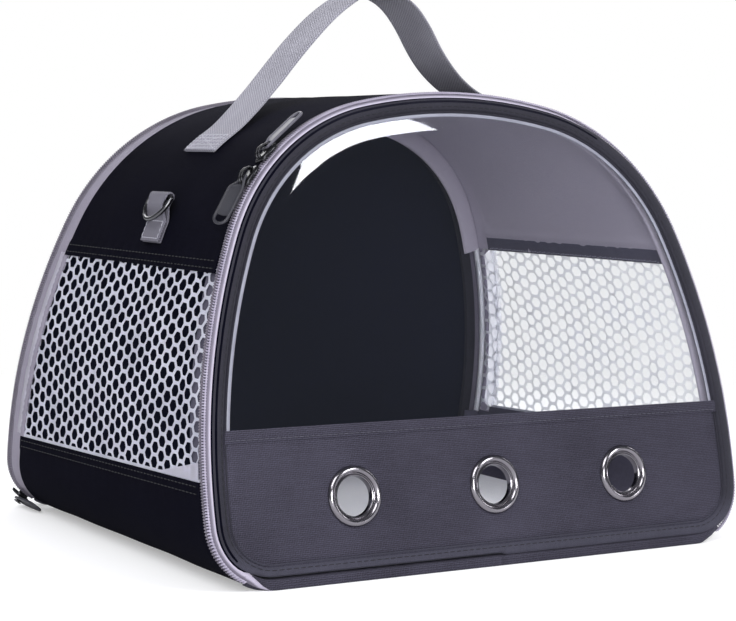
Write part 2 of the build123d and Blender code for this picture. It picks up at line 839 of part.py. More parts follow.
for slider_name, pull_name, angle, direction in front_sliders:
    seat = zip_plane(shoulder_centre, shoulder_radius, angle, plate_underside, direction)
    with BuildPart() as front_slider:
        slider_shell(shoulder_centre, shoulder_radius, angle)
        slider_bridge(seat)
    save(front_slider.part, slider_name)

    pin_centre = seat.from_local_coords(Vector(pull_pin_shift, 0, pin_growth - plate_underside))
    pull_frame = Plane(origin=pin_centre, x_dir=seat.x_dir, z_dir=seat.z_dir)
    pull_frame = pull_frame.rotated((0, pull_tilt, 0))
    with BuildPart() as front_pull:
        pull_plate(pull_frame, pull_thickness / 2)
        with BuildSketch(pull_frame.offset(-pull_thickness / 2)) as pull_slot:
            with Locations(((pull_slot_length - pull_thickness / 2) / 2, 0)):
                Rectangle(pull_slot_length + pull_thickness / 2, pull_slot_width)
        extrude(pull_slot.sketch, amount=pull_thickness, mode=Mode.SUBTRACT)
        with BuildSketch(Plane(origin=pin_centre, z_dir=pull_frame.y_dir)) as pin_end:
            Circle(pull_pin)
        extrude(pin_end.sketch, amount=pull_width / 2, both=True)
    save(front_pull.part, pull_name)

# the back slider is built at the front and mirrored; its pull points along the tunnel

swivel_seat = zip_plane(corner_centre, corner_radius, back_slider_angle, plate_growth, 1)
swivel_axis = (swivel_seat.z_dir - Vector(0, swivel_seat.z_dir.Y, 0)).normalized()
swivel_plane = Plane(origin=swivel_seat.origin, x_dir=(0, 1, 0), z_dir=swivel_axis)
swivel_top = swivel_rise + pull_thickness + swivel_clearance

with BuildPart() as back_slider:
    slider_shell(corner_centre, corner_radius, back_slider_angle)
    with BuildSketch(swivel_plane.offset(-slider_plate / 2)) as post:
        Circle(swivel_post)
    extrude(post.sketch, amount=swivel_top + swivel_cap_height + slider_plate / 2)
    with BuildSketch(swivel_plane.offset(swivel_top)) as cap:
        Circle(swivel_cap)
    extrude(cap.sketch, amount=swivel_cap_height)
    mirror(about=Plane.XZ, mode=Mode.REPLACE)
save(back_slider.part, "back_slider")

swivel_frame = swivel_plane.offset(swivel_rise + pull_thickness / 2)

with BuildPart() as back_pull:
    pull_plate(swivel_frame, pull_width / 2)
    with BuildSketch(swivel_frame.offset(-pull_thickness / 2)) as swivel_hole:
        Circle(swivel_post + swivel_clearance)
    extrude(swivel_hole.sketch, amount=pull_thickness, mode=Mode.SUBTRACT)
    mirror(about=Plane.XZ, mode=Mode.REPLACE)
save(back_pull.part, "back_pull")
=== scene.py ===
import math
from bisect import bisect_right

import bmesh
import bpy
from mathutils import Matrix, Vector, noise


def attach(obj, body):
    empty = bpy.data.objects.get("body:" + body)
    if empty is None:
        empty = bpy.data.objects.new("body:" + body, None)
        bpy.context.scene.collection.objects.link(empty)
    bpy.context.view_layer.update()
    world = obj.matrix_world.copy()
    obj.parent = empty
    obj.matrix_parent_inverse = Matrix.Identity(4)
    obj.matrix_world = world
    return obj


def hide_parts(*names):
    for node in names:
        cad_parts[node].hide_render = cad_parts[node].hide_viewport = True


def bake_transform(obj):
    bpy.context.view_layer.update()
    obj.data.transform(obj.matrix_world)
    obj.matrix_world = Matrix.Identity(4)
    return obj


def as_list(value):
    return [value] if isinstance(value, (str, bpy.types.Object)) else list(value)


# Looks of a soft-sided bird carrier. Lengths in this script are millimetres until a mesh is made.
# s runs down the tunnel's section from the top of the arch, growth outwards from the doors' bindings,
# and depth from a door's face towards the cabin, as in the CAD source.

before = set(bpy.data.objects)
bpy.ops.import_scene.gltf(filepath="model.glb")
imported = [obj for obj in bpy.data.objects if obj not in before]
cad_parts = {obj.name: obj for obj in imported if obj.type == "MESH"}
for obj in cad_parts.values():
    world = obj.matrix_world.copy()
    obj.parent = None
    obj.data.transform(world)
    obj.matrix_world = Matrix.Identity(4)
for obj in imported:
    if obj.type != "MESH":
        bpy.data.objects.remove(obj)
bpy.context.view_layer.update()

MM = 0.001
sin, cos, pi = math.sin, math.cos, math.pi
SIDES = ((1, "right"), (-1, "left"))
ENDS = ((False, "front"), (True, "back"))

# ---- the carrier's measures, from the CAD source

LEAN = math.radians(11.5)
SL, CL = sin(LEAN), cos(LEAN)
HALF = 126.5                                        # to a door's face, at floor level
SEAM = 3.8                                          # depth of a zip's middle
DOOR_HEIGHT = 216.8
TOP_RADIUS, SHOULDER_RADIUS, SIDE_RADIUS, CORNER_RADIUS = 250.0, 99.0, 306.0, 25.0
TOP_ANGLE, SHOULDER_ANGLE, ZIP_END = 12.2, 68.0, 152.0
SKIN, TAPE, FACING, CABIN = 5.0, 3.8, 3.0, 2.2      # growths of the wall's layers
SKIN_START, BACK_SKIN = 6.7, 19.7                   # depths where the outer cloth ends
MESH_TOP, MESH_BOTTOM, MESH_SLOPE = 137.8, 44.5, math.tan(math.radians(1.5))
PANEL_TOP, FILM_BOTTOM = 71.1, 63.1
LIFT = 5.0 + SEAM * math.tan(LEAN)


def polar(radius, angle):
    a = math.radians(angle)
    return Vector((radius * sin(a), radius * cos(a)))


TOP_C = Vector((0.0, LIFT + DOOR_HEIGHT - TOP_RADIUS))
SHOULDER_C = TOP_C + polar(TOP_RADIUS - SHOULDER_RADIUS, TOP_ANGLE)
SIDE_C = SHOULDER_C - polar(SIDE_RADIUS - SHOULDER_RADIUS, SHOULDER_ANGLE)
SIDE_END = math.degrees(math.acos((LIFT + CORNER_RADIUS - SIDE_C.y) / (SIDE_RADIUS - CORNER_RADIUS)))
CORNER_C = SIDE_C + polar(SIDE_RADIUS - CORNER_RADIUS, SIDE_END)
ARCS = (
    (TOP_C, TOP_RADIUS, 0.0, TOP_ANGLE),
    (SHOULDER_C, SHOULDER_RADIUS, TOP_ANGLE, SHOULDER_ANGLE),
    (SIDE_C, SIDE_RADIUS, SHOULDER_ANGLE, SIDE_END),
    (CORNER_C, CORNER_RADIUS, SIDE_END, 180.0),
)
ARC_LENGTHS = [r * math.radians(b - a) for _, r, a, b in ARCS]
S_CORNER = sum(ARC_LENGTHS)
FLOOR_HALF = CORNER_C.x


def rim(s):
    """Point on the rim and its outward normal, s along it from the top; negative s is the left half."""
    side = -1.0 if s < 0 else 1.0
    left = abs(s)
    for (c, r, a, _), length in zip(ARCS, ARC_LENGTHS):
        if left <= length + 1e-9:
            n = polar(1.0, a + math.degrees(left / r))
            p = c + n * r
            return Vector((side * p.x, p.y)), Vector((side * n.x, n.y))
        left -= length
    return Vector((side * (FLOOR_HALF - left), CORNER_C.y - CORNER_RADIUS)), Vector((0.0, -1.0))


def at_rim(s, growth):
    """Point in a door's plane, at a growth from the rim."""
    p, n = rim(s)
    return p + n * growth


def s_at_angle(angle):
    """Distance along the rim at an angle from the top."""
    s = 0.0
    for (_, r, a, b), length in zip(ARCS, ARC_LENGTHS):
        if angle <= b:
            return s + r * math.radians(angle - a)
        s += length
    return s


def wall(s, growth):
    """Point of the tunnel's section: x and z."""
    q = at_rim(s, growth)
    return Vector((q.x, q.y * CL - SEAM * SL))


def last_s(holds):
    """Greatest distance along half the rim at which a test holds."""
    low, high = 0.0, S_CORNER
    for _ in range(40):
        mid = (low + high) / 2
        low, high = (mid, high) if holds(mid) else (low, mid)
    return low


def s_at_level(z, growth):
    """Distance along the rim where the wall is at a height."""
    return last_s(lambda s: wall(s, growth).y > z)


def half_width(w, growth):
    """Half width of the rim at a height drawn on the door."""
    return at_rim(last_s(lambda s: at_rim(s, growth).y > w), growth).x


def y_front(z, depth):
    """Y of a plane at a depth behind the front door's face, at a height."""
    return -HALF + (depth + z * SL) / CL


def door(p, depth, back=False):
    """A point drawn on a door, in the world."""
    y = -HALF + p.y * SL + depth * CL
    return Vector((p.x, -y if back else y, p.y * CL - depth * SL))


def ring_point(s, growth, depth, back):
    """A point of the tunnel's edge, in the world."""
    w = wall(s, growth)
    y = y_front(w.y, depth)
    return Vector((w.x, -y if back else y, w.y))


def s_sill(y, growth=4.8):
    """Lower edge of the side mesh, at a place along the tunnel."""
    return s_at_level(MESH_BOTTOM - y * MESH_SLOPE, growth)


def rough(x, y, z, size):
    """Smooth noise from -1 to 1."""
    return noise.noise(Vector((x, y, z)) / size)


def smooth(a, b, x):
    t = min(max((x - a) / (b - a), 0.0), 1.0)
    return t * t * (3 - 2 * t)


def steps(a, b, step=3.0, side=1):
    """Evenly spaced values from a to b, on one side."""
    n = max(1, math.ceil(abs(b - a) / step))
    return [side * (a + (b - a) * i / n) for i in range(n + 1)]


def circle(count):
    """Evenly spaced angles of a whole turn."""
    return [2 * pi * k / count for k in range(count)]


S_ZIP = s_at_angle(ZIP_END)
S_MESH = s_at_level(MESH_TOP, SKIN)
WHOLE = steps(-S_CORNER - FLOOR_HALF, S_CORNER + FLOOR_HALF)[:-1]

# ---- camera at the photograph's angle

CAMERA_AT = Vector((-0.5395, -0.8851, 0.1894))
YAW, PITCH, ROLL = (math.radians(v) for v in (31.41, 4.33, 0.951))
FOCAL, SENSOR, SHIFT_X, SHIFT_Y = 97.83, 36.0, 0.00136, 0.00054


def photo_camera():
    """Camera where the photograph was taken from."""
    ahead = Vector((sin(YAW) * cos(PITCH), cos(YAW) * cos(PITCH), -sin(PITCH)))
    right = Vector((cos(YAW), -sin(YAW), 0.0))
    up = right.cross(ahead)
    right, up = right * cos(ROLL) + up * sin(ROLL), up * cos(ROLL) - right * sin(ROLL)
    lens = bpy.data.cameras.new("camera")
    lens.lens, lens.sensor_width = FOCAL, SENSOR
    lens.shift_x, lens.shift_y = SHIFT_X, SHIFT_Y
    lens.clip_start, lens.clip_end = 0.01, 50.0
    camera = bpy.data.objects.new("camera", lens)
    camera.matrix_world = Matrix.Translation(CAMERA_AT) @ Matrix((right, up, -ahead)).transposed().to_4x4()
    bpy.context.collection.objects.link(camera)
    return camera


bpy.context.scene.camera = photo_camera()

# ---- materials


class Graph:
    """Nodes of a material or a world, with short names for the ones used here."""

    def __init__(self, owner, out="OutputMaterial"):
        self.owner = owner
        owner.use_nodes = True
        self.tree = owner.node_tree
        self.tree.nodes.clear()
        self.out = self.node(out)

    def node(self, kind, *values, **settings):
        """New node with these settings; values go into its first sockets."""
        n = self.tree.nodes.new("ShaderNode" + kind)
        for key, value in settings.items():
            setattr(n, key, value)
        for socket, value in zip(n.inputs, values):
            self.put(socket, value)
        return n

    def put(self, socket, value):
        if isinstance(value, bpy.types.NodeSocket):
            self.tree.links.new(value, socket)
        elif isinstance(value, tuple) and len(value) == 3 and socket.type == "RGBA":
            socket.default_value = (*value, 1.0)
        else:
            socket.default_value = value

    def finish(self, shader):
        """Send a shader to the output."""
        self.put(self.out.inputs[0], shader.outputs[0])
        return self.owner

    def math(self, how, *values):
        return self.node("Math", *values, operation=how).outputs[0]

    def times(self, a, b):
        return self.math("MULTIPLY", a, b)

    def madd(self, a, b, c):
        """a times b, plus c."""
        return self.math("MULTIPLY_ADD", a, b, c)

    def wave(self, x):
        """A rounded ridge for each whole step of x."""
        return self.math("ABSOLUTE", self.math("SINE", self.times(x, pi)))

    def step(self, value, start, end, how="SMOOTHSTEP"):
        """0 before start, 1 past end."""
        return self.node("MapRange", value, start, end, interpolation_type=how).outputs[0]

    def mix(self, share, a, b):
        """Two colours mixed."""
        n = self.node("Mix", share, data_type="RGBA")
        self.put(n.inputs[6], a)
        self.put(n.inputs[7], b)
        return n.outputs[2]

    def blend(self, share, a, b):
        """Two values mixed."""
        n = self.node("Mix", share, data_type="FLOAT")
        self.put(n.inputs[2], a)
        self.put(n.inputs[3], b)
        return n.outputs[0]

    def cloth(self):
        """Cloth coordinates in millimetres, along and across."""
        parts = self.node("SeparateXYZ", self.node("UVMap", uv_map="cloth").outputs[0])
        return parts.outputs[0], parts.outputs[1]

    def place(self, scale=1.0, stretch=(1, 1, 1)):
        """Object coordinates in millimetres, divided by a size."""
        m = self.node("Mapping", self.node("TexCoord").outputs["Object"])
        m.inputs["Scale"].default_value = [1000 / scale * v for v in stretch]
        return m.outputs[0]

    def noise(self, vector, detail=2.0, rough=0.5):
        n = self.node("TexNoise", vector)
        for name, value in (("Scale", 1.0), ("Detail", detail), ("Roughness", rough)):
            n.inputs[name].default_value = value
        return n.outputs["Fac"]

    def cell_noise(self, a, b):
        """A random value for each whole step of a and b."""
        v = self.node("CombineXYZ", self.math("FLOOR", a), self.math("FLOOR", b))
        return self.node("TexWhiteNoise", v.outputs[0], noise_dimensions="2D").outputs[0]

    def uneven(self, tone, amount, *noises):
        """Make a tone lighter and darker, and keep it from 0 to 1."""
        for value in noises:
            tone = self.madd(self.math("SUBTRACT", value, 0.5), amount, tone)
        return self.math("MAXIMUM", self.math("MINIMUM", tone, 1.0), 0.0)

    def bump(self, height, distance, strength=1.0):
        n = self.node("Bump")
        n.inputs["Strength"].default_value = strength
        n.inputs["Distance"].default_value = distance * MM
        self.put(n.inputs["Height"], height)
        return n.outputs[0]

    def principled(self, **inputs):
        """Principled shader; names of its sockets with underscores for spaces."""
        n = self.node("BsdfPrincipled")
        for key, value in inputs.items():
            self.put(n.inputs[key.replace("_", " ")], value)
        return n


def material(name):
    return Graph(bpy.data.materials.new(name))


def screen(code):
    """A colour as seen on screen, made linear."""
    values = [int(code[i : i + 2], 16) / 255 for i in (0, 2, 4)]
    return tuple(v / 12.92 if v <= 0.04045 else ((v + 0.055) / 1.055) ** 2.4 for v in values)


def change(g, tone, shade, value, there):
    """Other shades of a cloth past a place, used for painted light and shade: there has the two shades, and
    where they start and are full.
    """
    if there is None:
        return shade
    dark, light, start, full = there
    return g.mix(g.step(value, start, full), shade, g.mix(tone, screen(dark), screen(light)))


def woven(name, dark, light, pitch, twill, relief, roughness=0.85, sheen=0.15, heather=0.35,
          specular=0.3, slub=0.3, low=None):
    """Woven cloth: threads of a pitch over and under each other; low: other shades by height, used for
    painted light and shade.
    """
    g = material(name)
    u, v = (g.math("DIVIDE", along, pitch) for along in g.cloth())
    u = g.madd(g.noise(g.place(6.0)), 0.35, u)
    count = g.math("ADD", g.math("FLOOR", u), g.math("FLOOR", v))
    over = g.math("LESS_THAN", g.math("FLOORED_MODULO", count, float(twill)), twill / 2 - 0.01)
    height = g.blend(over, g.wave(u), g.wave(v))
    long_u, long_v = g.math("DIVIDE", u, 9.0), g.math("DIVIDE", v, 9.0)
    yarn = g.blend(over, g.cell_noise(u, long_v), g.cell_noise(long_u, v))
    cloud = g.noise(g.place(38.0), 3.0)
    fuzz = g.noise(g.place(0.55), 2.0, 0.7)
    # The tone follows the threads' height, so the gaps between threads are darker: painted shade.
    tone = g.uneven(g.madd(height, 1.0 - heather, g.times(yarn, heather)), slub, cloud, fuzz)
    z = g.node("SeparateXYZ", g.place()).outputs["Z"] if low else None
    shade = change(g, tone, g.mix(tone, screen(dark), screen(light)), z, low)
    return g.finish(g.principled(
        Base_Color=shade, Roughness=roughness, Normal=g.bump(g.madd(fuzz, 0.4, height), relief),
        Sheen_Weight=sheen, Sheen_Roughness=0.45, Sheen_Tint=(0.6, 0.6, 0.75), Specular_IOR_Level=specular))


def knitted(name, dark, light, sheer):
    """Twisted filaments of the open mesh; sheer: how much light comes through."""
    g = material(name)
    fibre = g.noise(g.place(0.5, (1, 1, 3)), 3.0, 0.7)
    tone = g.madd(g.noise(g.place(20.0)), 0.35, g.times(fibre, 0.65))
    shade = g.mix(g.step(tone, 0.25, 0.62, "LINEAR"), screen(dark), screen(light))
    return g.finish(g.principled(
        Base_Color=shade, Roughness=0.7, Normal=g.bump(fibre, 0.2), Sheen_Weight=0.2, Sheen_Roughness=0.4,
        Specular_IOR_Level=0.4, Transmission_Weight=sheer, IOR=1.15))


def ribbed(name, dark, light, rib, cord, relief, roughness=0.7, sheen=0.1, sheer=0.0, far=None):
    """Narrow woven band: ribs across it, rows of thread along it; far: other shades past a width, used for
    painted shade.
    """
    g = material(name)
    u, v = g.cloth()
    across = g.math("DIVIDE", v, cord)
    odd = g.math("FLOORED_MODULO", g.math("FLOOR", across), 2.0)
    along = g.math("ADD", g.math("DIVIDE", u, rib), g.times(odd, 0.5))
    height = g.times(g.math("POWER", g.wave(along), 0.6), g.math("POWER", g.wave(across), 0.5))
    fuzz = g.noise(g.place(0.45), 3.0, 0.7)
    # The tone follows the ribs' height, so the gaps between ribs are darker: painted shade.
    tone = g.uneven(g.madd(height, 0.6, g.times(fuzz, 0.3)), 0.35, g.noise(g.place(26.0), 3.0))
    shade = change(g, tone, g.mix(tone, screen(dark), screen(light)), v, far)
    return g.finish(g.principled(
        Base_Color=shade, Roughness=roughness, Normal=g.bump(g.madd(fuzz, 0.3, height), relief),
        Sheen_Weight=sheen, Sheen_Roughness=0.4, Specular_IOR_Level=0.35, Transmission_Weight=sheer,
        IOR=1.15 if sheer else 1.5))


def metal(name, colour, roughness, wear, metallic=1.0):
    """Plated or painted metal with fine scratches and handled patches."""
    g = material(name)
    fine = g.noise(g.place(0.6, (1, 1, 3)), 3.0, 0.6)
    patch = g.noise(g.place(7.0), 3.0)
    shade = g.mix(g.times(patch, 0.5), colour, tuple(c * 0.72 for c in colour))
    return g.finish(g.principled(
        Base_Color=shade, Metallic=metallic, Normal=g.bump(fine, 0.004, 0.5),
        Roughness=g.madd(patch, wear, g.madd(fine, wear, roughness - wear))))


def moulded(name, dark, light, roughness, grain=0.8):
    """Moulded plastic or painted pulls with a light grain."""
    g = material(name)
    fine = g.noise(g.place(grain), 3.0, 0.6)
    tone = g.madd(g.noise(g.place(9.0)), 0.7, g.times(fine, 0.3))
    return g.finish(g.principled(
        Base_Color=g.mix(tone, screen(dark), screen(light)), Roughness=g.madd(fine, 0.15, roughness),
        Normal=g.bump(fine, 0.05, 0.6), Specular_IOR_Level=0.5))


def clear_film():
    """Thin clear PVC: lets lamps through, mirrors the studio at both its faces."""
    g = material("window_film")
    scuff = g.noise(g.place(2.0, (1, 1, 6)), 3.0, 0.7)
    bumped = g.bump(g.noise(g.place(60.0)), 0.4, 0.4)
    clear = g.node("BsdfTransparent", (0.95, 0.955, 0.965))
    gloss = g.principled(Base_Color=(0.95, 0.96, 1.0), Metallic=1.0, Normal=bumped,
                         Roughness=g.madd(scuff, 0.04, 0.02))
    behind = g.node("NewGeometry").outputs["Backfacing"]
    edge = g.node("Fresnel", g.math("POWER", 1.45, g.madd(behind, -2.0, 1.0)), bumped).outputs[0]
    lit = g.math("SUBTRACT", 1.0, g.node("LightPath").outputs["Is Shadow Ray"])
    share = g.times(g.math("MINIMUM", g.madd(edge, 1.1, 0.01), 1.0), lit)
    return g.finish(g.node("MixShader", share, clear.outputs[0], gloss.outputs[0]))


M = {
    # outer cloth: the shades given as low make the roof's top lighter from 188 mm up, a painted highlight
    # where the lamps fall
    "outer": woven("outer_fabric", "020207", "0f0f1b", 0.55, 2, 0.08, heather=0.3, sheen=0.0, specular=0.04,
                   roughness=1.0, low=("0b0b12", "24242f", 188.0, 222.0)),
    "panel": woven("panel_fabric", "15141b", "474553", 0.85, 3, 0.16, heather=0.14, sheen=0.02,
                   specular=0.15, slub=0.6),
    "lining": woven("lining_fabric", "8b8593", "b7b1bf", 0.45, 2, 0.03, heather=0.15, sheen=0.1, slub=0.1),
    "facing": woven("facing_fabric", "363441", "5c5a6b", 0.5, 2, 0.05, heather=0.2, sheen=0.05),
    "inside": woven("back_panel_inside", "0c0e19", "191c2b", 0.5, 2, 0.04, heather=0.2, sheen=0.0,
                    specular=0.05, slub=0.1),
    # binding: near-black up the arch as painted shade; the shades given as low make it lighter along the
    # floor, below 26 mm
    "binding": woven("binding", "100f16", "302f3b", 0.45, 2, 0.08, roughness=0.75, heather=0.2, sheen=0.06,
                     low=("201f28", "484756", 26.0, 10.0)),
    "net": knitted("side_mesh", "9a9bad", "dadbe7", 0.3),
    # The right side's mesh look: a paler, more see-through copy, painted back light.
    "net_painted_backlight": knitted("side_mesh_painted_backlight", "dddfea", "ffffff", 0.72),
    "selvedge": knitted("mesh_selvedge", "a3a4b5", "dadbe6", 0.3),
    # zip tape: the shades given as far darken the part that turns back into the zip, painted shade
    "tape": ribbed("zip_tape", "8a8497", "cdc7d9", 0.55, 0.55, 0.06, far=("504b5a", "85808f", 1.9, 3.1)),
    "body_tape": ribbed("zip_tape_dark", "26232c", "4a4653", 0.5, 0.5, 0.06),
    "back_tape": ribbed("zip_tape_back", "7b7586", "bab5c5", 0.55, 0.55, 0.08, roughness=0.9, sheer=0.3),
    # The right side's sheer cloth: a paler, more see-through copy, painted back light.
    "sheer_painted_backlight": ribbed("sheer_cloth_painted_backlight", "e6e7f0", "ffffff", 0.6, 0.6, 0.05, roughness=0.9, sheer=0.88),
    "sheer": ribbed("sheer_cloth", "c9c7d4", "f2f1f8", 0.6, 0.6, 0.05, roughness=0.9, sheer=0.75),
    "coil": moulded("zip_coil", "7f798e", "bfb9cb", 0.4, 0.5),
    "body_coil": moulded("zip_coil_dark", "4f4a58", "85808d", 0.4, 0.5),
    "webbing": ribbed("webbing", "55535f", "bfbecb", 1.5, 1.2, 0.35, sheen=0.05),
    "tab": ribbed("ring_tab", "393743", "84828f", 1.3, 1.0, 0.3, sheen=0.05),
    "film": clear_film(),
    # Film edge: an opaque pale strip standing in for the clear film's bright edge, a painted highlight.
    "film_edge_painted_highlight": moulded("film_edge_painted_highlight", "6d6e7b", "9a9baa", 0.3, 3.0),
    "nickel": metal("eyelet_metal", (0.30, 0.285, 0.315), 0.2, 0.06),
    "gunmetal": metal("ring_metal", (0.13, 0.13, 0.14), 0.26, 0.1),
    "slider": metal("slider_metal", (0.04, 0.04, 0.045), 0.26, 0.1, 0.9),
    "pull_light": moulded("pull_light", "42414b", "65646f", 0.35),
    "pull_dark": moulded("pull_dark", "1d1d24", "34343d", 0.4),
    "mat": woven("mat_fabric", "e3e5f0", "ffffff", 0.8, 2, 0.12, heather=0.2, slub=0.15),
    "board": moulded("board", "59595d", "6f6f76", 0.6, 2.0),
    "rod": moulded("rim_rod", "d4d4d7", "e4e4e7", 0.4, 2.0),
    "thread": ribbed("thread_dark", "08080d", "14141c", 0.5, 0.3, 0.03),
    "thread_panel": ribbed("thread_panel", "32313c", "5d5c6a", 0.5, 0.3, 0.03),
    "thread_light": ribbed("thread_light", "8d8c98", "cfceda", 0.5, 0.3, 0.03),
}

# ---- meshes


def finish_mesh(bm, name, look, body, nodes, slot, sharp):
    """Turn a bmesh in millimetres into a piece that rides on a body."""
    bmesh.ops.remove_doubles(bm, verts=bm.verts, dist=1e-4)
    bmesh.ops.recalc_face_normals(bm, faces=bm.faces)
    bmesh.ops.scale(bm, vec=(MM, MM, MM), verts=bm.verts)
    mesh = bpy.data.meshes.new(name)
    bm.to_mesh(mesh)
    bm.free()
    mesh.shade_smooth()
    mesh.set_sharp_from_angle(angle=math.radians(sharp))
    mesh.materials.append(M[look])
    piece = bpy.data.objects.new(name, mesh)
    bpy.context.collection.objects.link(piece)
    if body:
        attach(piece, body)
    if nodes:
        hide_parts(*nodes)
    return piece


class Build:
    """Collects points, faces and cloth coordinates in millimetres."""

    def __init__(self):
        self.points, self.cloth, self.faces = [], [], []

    def point(self, p, uv=(0.0, 0.0)):
        self.points.append(p)
        self.cloth.append(uv)
        return len(self.points) - 1

    def face(self, *corners):
        self.faces.append(corners)

    def loft(self, rows, uvs, closed=False):
        """Join rows of points, each a closed loop, with caps unless the last row meets the first."""
        ids = [[self.point(p, q) for p, q in zip(row, uv)] for row, uv in zip(rows, uvs)]
        count, width = len(ids), len(ids[0])
        for i in range(count if closed else count - 1):
            a, b = ids[i], ids[(i + 1) % count]
            for k in range(width):
                self.face(a[k], a[(k + 1) % width], b[(k + 1) % width], b[k])
        if not closed:
            self.face(*ids[0])
            self.face(*reversed(ids[-1]))

    def sheet(self, top, under, uv, keep=None):
        """A thin solid between two grids of points; keep says which cells stay."""
        rows, cols = len(top), len(top[0])
        a, b = ([[self.point(grid[i][j], uv[i][j]) for j in range(cols)] for i in range(rows)]
                for grid in (top, under))
        used = {(i, j) for i in range(rows - 1) for j in range(cols - 1) if keep is None or keep(i, j)}
        for i, j in sorted(used):
            self.face(a[i][j], a[i][j + 1], a[i + 1][j + 1], a[i + 1][j])
            self.face(b[i + 1][j], b[i + 1][j + 1], b[i][j + 1], b[i][j])
            for di, dj, p, q in ((-1, 0, (i, j), (i, j + 1)), (1, 0, (i + 1, j + 1), (i + 1, j)),
                                 (0, -1, (i + 1, j), (i, j)), (0, 1, (i, j + 1), (i + 1, j + 1))):
                if (i + di, j + dj) not in used:
                    self.face(a[p[0]][p[1]], b[p[0]][p[1]], b[q[0]][q[1]], a[q[0]][q[1]])

    def bmesh(self):
        bm = bmesh.new()
        verts = [bm.verts.new(p) for p in self.points]
        layer = bm.loops.layers.uv.new("cloth")
        for corners in self.faces:
            try:
                f = bm.faces.new([verts[k] for k in corners])
            except ValueError:
                continue
            for loop, k in zip(f.loops, corners):
                loop[layer].uv = self.cloth[k]
        return bm

    def piece(self, name, look, body, nodes, slot, sharp=45.0):
        return finish_mesh(self.bmesh(), name, look, body, nodes, slot, sharp)


def grids(rows, cols, at):
    """Upper points, lower points and cloth coordinates of a sheet; at takes two shares."""
    table = [[at(i / rows, j / cols) for j in range(cols + 1)] for i in range(rows + 1)]
    return [[[cell[k] for cell in row] for row in table] for k in range(3)]


def patch(name, s_of, y_of, outer, thick, rows, cols, look, nodes, slot, rests_on=()):
    """Cloth on the tunnel's wall: s_of(u, v) along the section, y_of(z, v) along the tunnel, outer growth.

    With rests_on it is a sheet, stretched between its seams; its spans are gathered but nothing is done with
    them."""

    def at(u, v):
        s = s_of(u, v)
        g = outer(s, v)
        a, b = wall(s, g), wall(s, g - thick)
        y = y_of(a.y, v)
        return Vector((a.x, y, a.y)), Vector((b.x, y_of(b.y, v), b.y)), (s, y)

    top, under, uv = grids(rows, cols, at)
    build = Build()
    build.sheet(top, under, uv)
    piece = build.piece(name, look, "shell", nodes, slot)
    if rests_on:
        s_all = [s for row in uv for s, _ in row]
        ys = [p.y for row in top for p in row]
        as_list(rests_on)


def between(front_depth, back_depth):
    """y_of for cloth that runs from one door to the other."""
    return lambda z, v: y_front(z, front_depth) * (1 - v) - y_front(z, back_depth) * v


def rim_sweep(name, stations, profile, look, body, nodes=(), slot=None, back=False, drawn=True, closed=False,
              sharp=45.0, build=None):
    """Carry a closed profile of (growth, depth) along the rim, drawn on a door or on the tunnel's edge."""
    rows, uvs = [], []
    for s in stations:
        shape = profile(s) if callable(profile) else profile
        if drawn:
            rows.append([door(at_rim(s, g), d, back) for g, d in shape])
        else:
            rows.append([ring_point(s, g, d, back) for g, d in shape])
        runs = [0.0]
        for a, b in zip(shape, shape[1:]):
            runs.append(runs[-1] + math.dist(a, b))
        uvs.append([(s, run) for run in runs])
    build = build or Build()
    build.loft(rows, uvs, closed)
    if name:
        build.piece(name, look, body, nodes, slot, sharp)


def tunnel_strip(name, stations, profile, look, nodes=(), back=False, slot="facing_fabric"):
    """A profile carried along the tunnel's edge."""
    rim_sweep(name, stations, profile, look, "shell", nodes, slot, back, False)


def rounded(g0, g1, d0, d1, n, power):
    """Rounded box profile between two growths and two depths."""
    out = []
    for k in range(n):
        a = 2 * pi * (k + 0.5) / n
        c, s = (math.copysign(abs(v) ** (2 / power), v) for v in (cos(a), sin(a)))
        out.append(((g0 + g1) / 2 + (g1 - g0) / 2 * c, (d0 + d1) / 2 + (d1 - d0) / 2 * s))
    return out


def stitches(build, points, normals, length=2.9, gap=0.7, width=0.5, height=0.28):
    """Add a row of stitches along a line of points, each a small raised grain of thread."""
    runs = [0.0]
    for a, b in zip(points, points[1:]):
        runs.append(runs[-1] + (b - a).length)

    def at(t):
        k = min(max(bisect_right(runs, t) - 1, 0), len(runs) - 2)
        f = min(max((t - runs[k]) / max(runs[k + 1] - runs[k], 1e-9), 0.0), 1.0)
        return points[k].lerp(points[k + 1], f), normals[k].lerp(normals[k + 1], f)

    count = int(runs[-1] / (length + gap))
    pitch = runs[-1] / max(count, 1)
    for i in range(count):
        rows, uvs = [], []
        for f, size in ((0.0, 0.35), (0.18, 0.85), (0.5, 1.0), (0.82, 0.85), (1.0, 0.35)):
            t = pitch * i + gap / 2 + (pitch - gap) * f
            p, n = at(t)
            side = (at(t + 0.1)[0] - at(t - 0.1)[0]).normalized().cross(n).normalized()
            rise = height * (size - 0.35)
            rows.append([p + n * (rise + height * 0.5 * size * sin(a)) + side * (width / 2 * size * cos(a))
                         for a in circle(6)])
            uvs.append([(t, width * k / 6) for k in range(6)])
        build.loft(rows, uvs)


def seam_row(name, lines, look, body, slot, **sizes):
    """Rows of stitches as one piece; lines gives lists of points with their normals."""
    build = Build()
    for points, normals in lines:
        stitches(build, points, normals, **sizes)
    build.piece(name, look, body, (), slot, 80.0)


def wall_line(s_of, y_of, growth, count):
    """Points and normals along a line on the tunnel's wall."""
    points, normals = [], []
    for i in range(count + 1):
        v = i / count
        s = s_of(v)
        a, b = wall(s, growth), wall(s, growth + 1)
        points.append(Vector((a.x, y_of(a.y, v), a.y)))
        normals.append(Vector((b.x - a.x, 0.0, b.y - a.y)).normalized())
    return points, normals


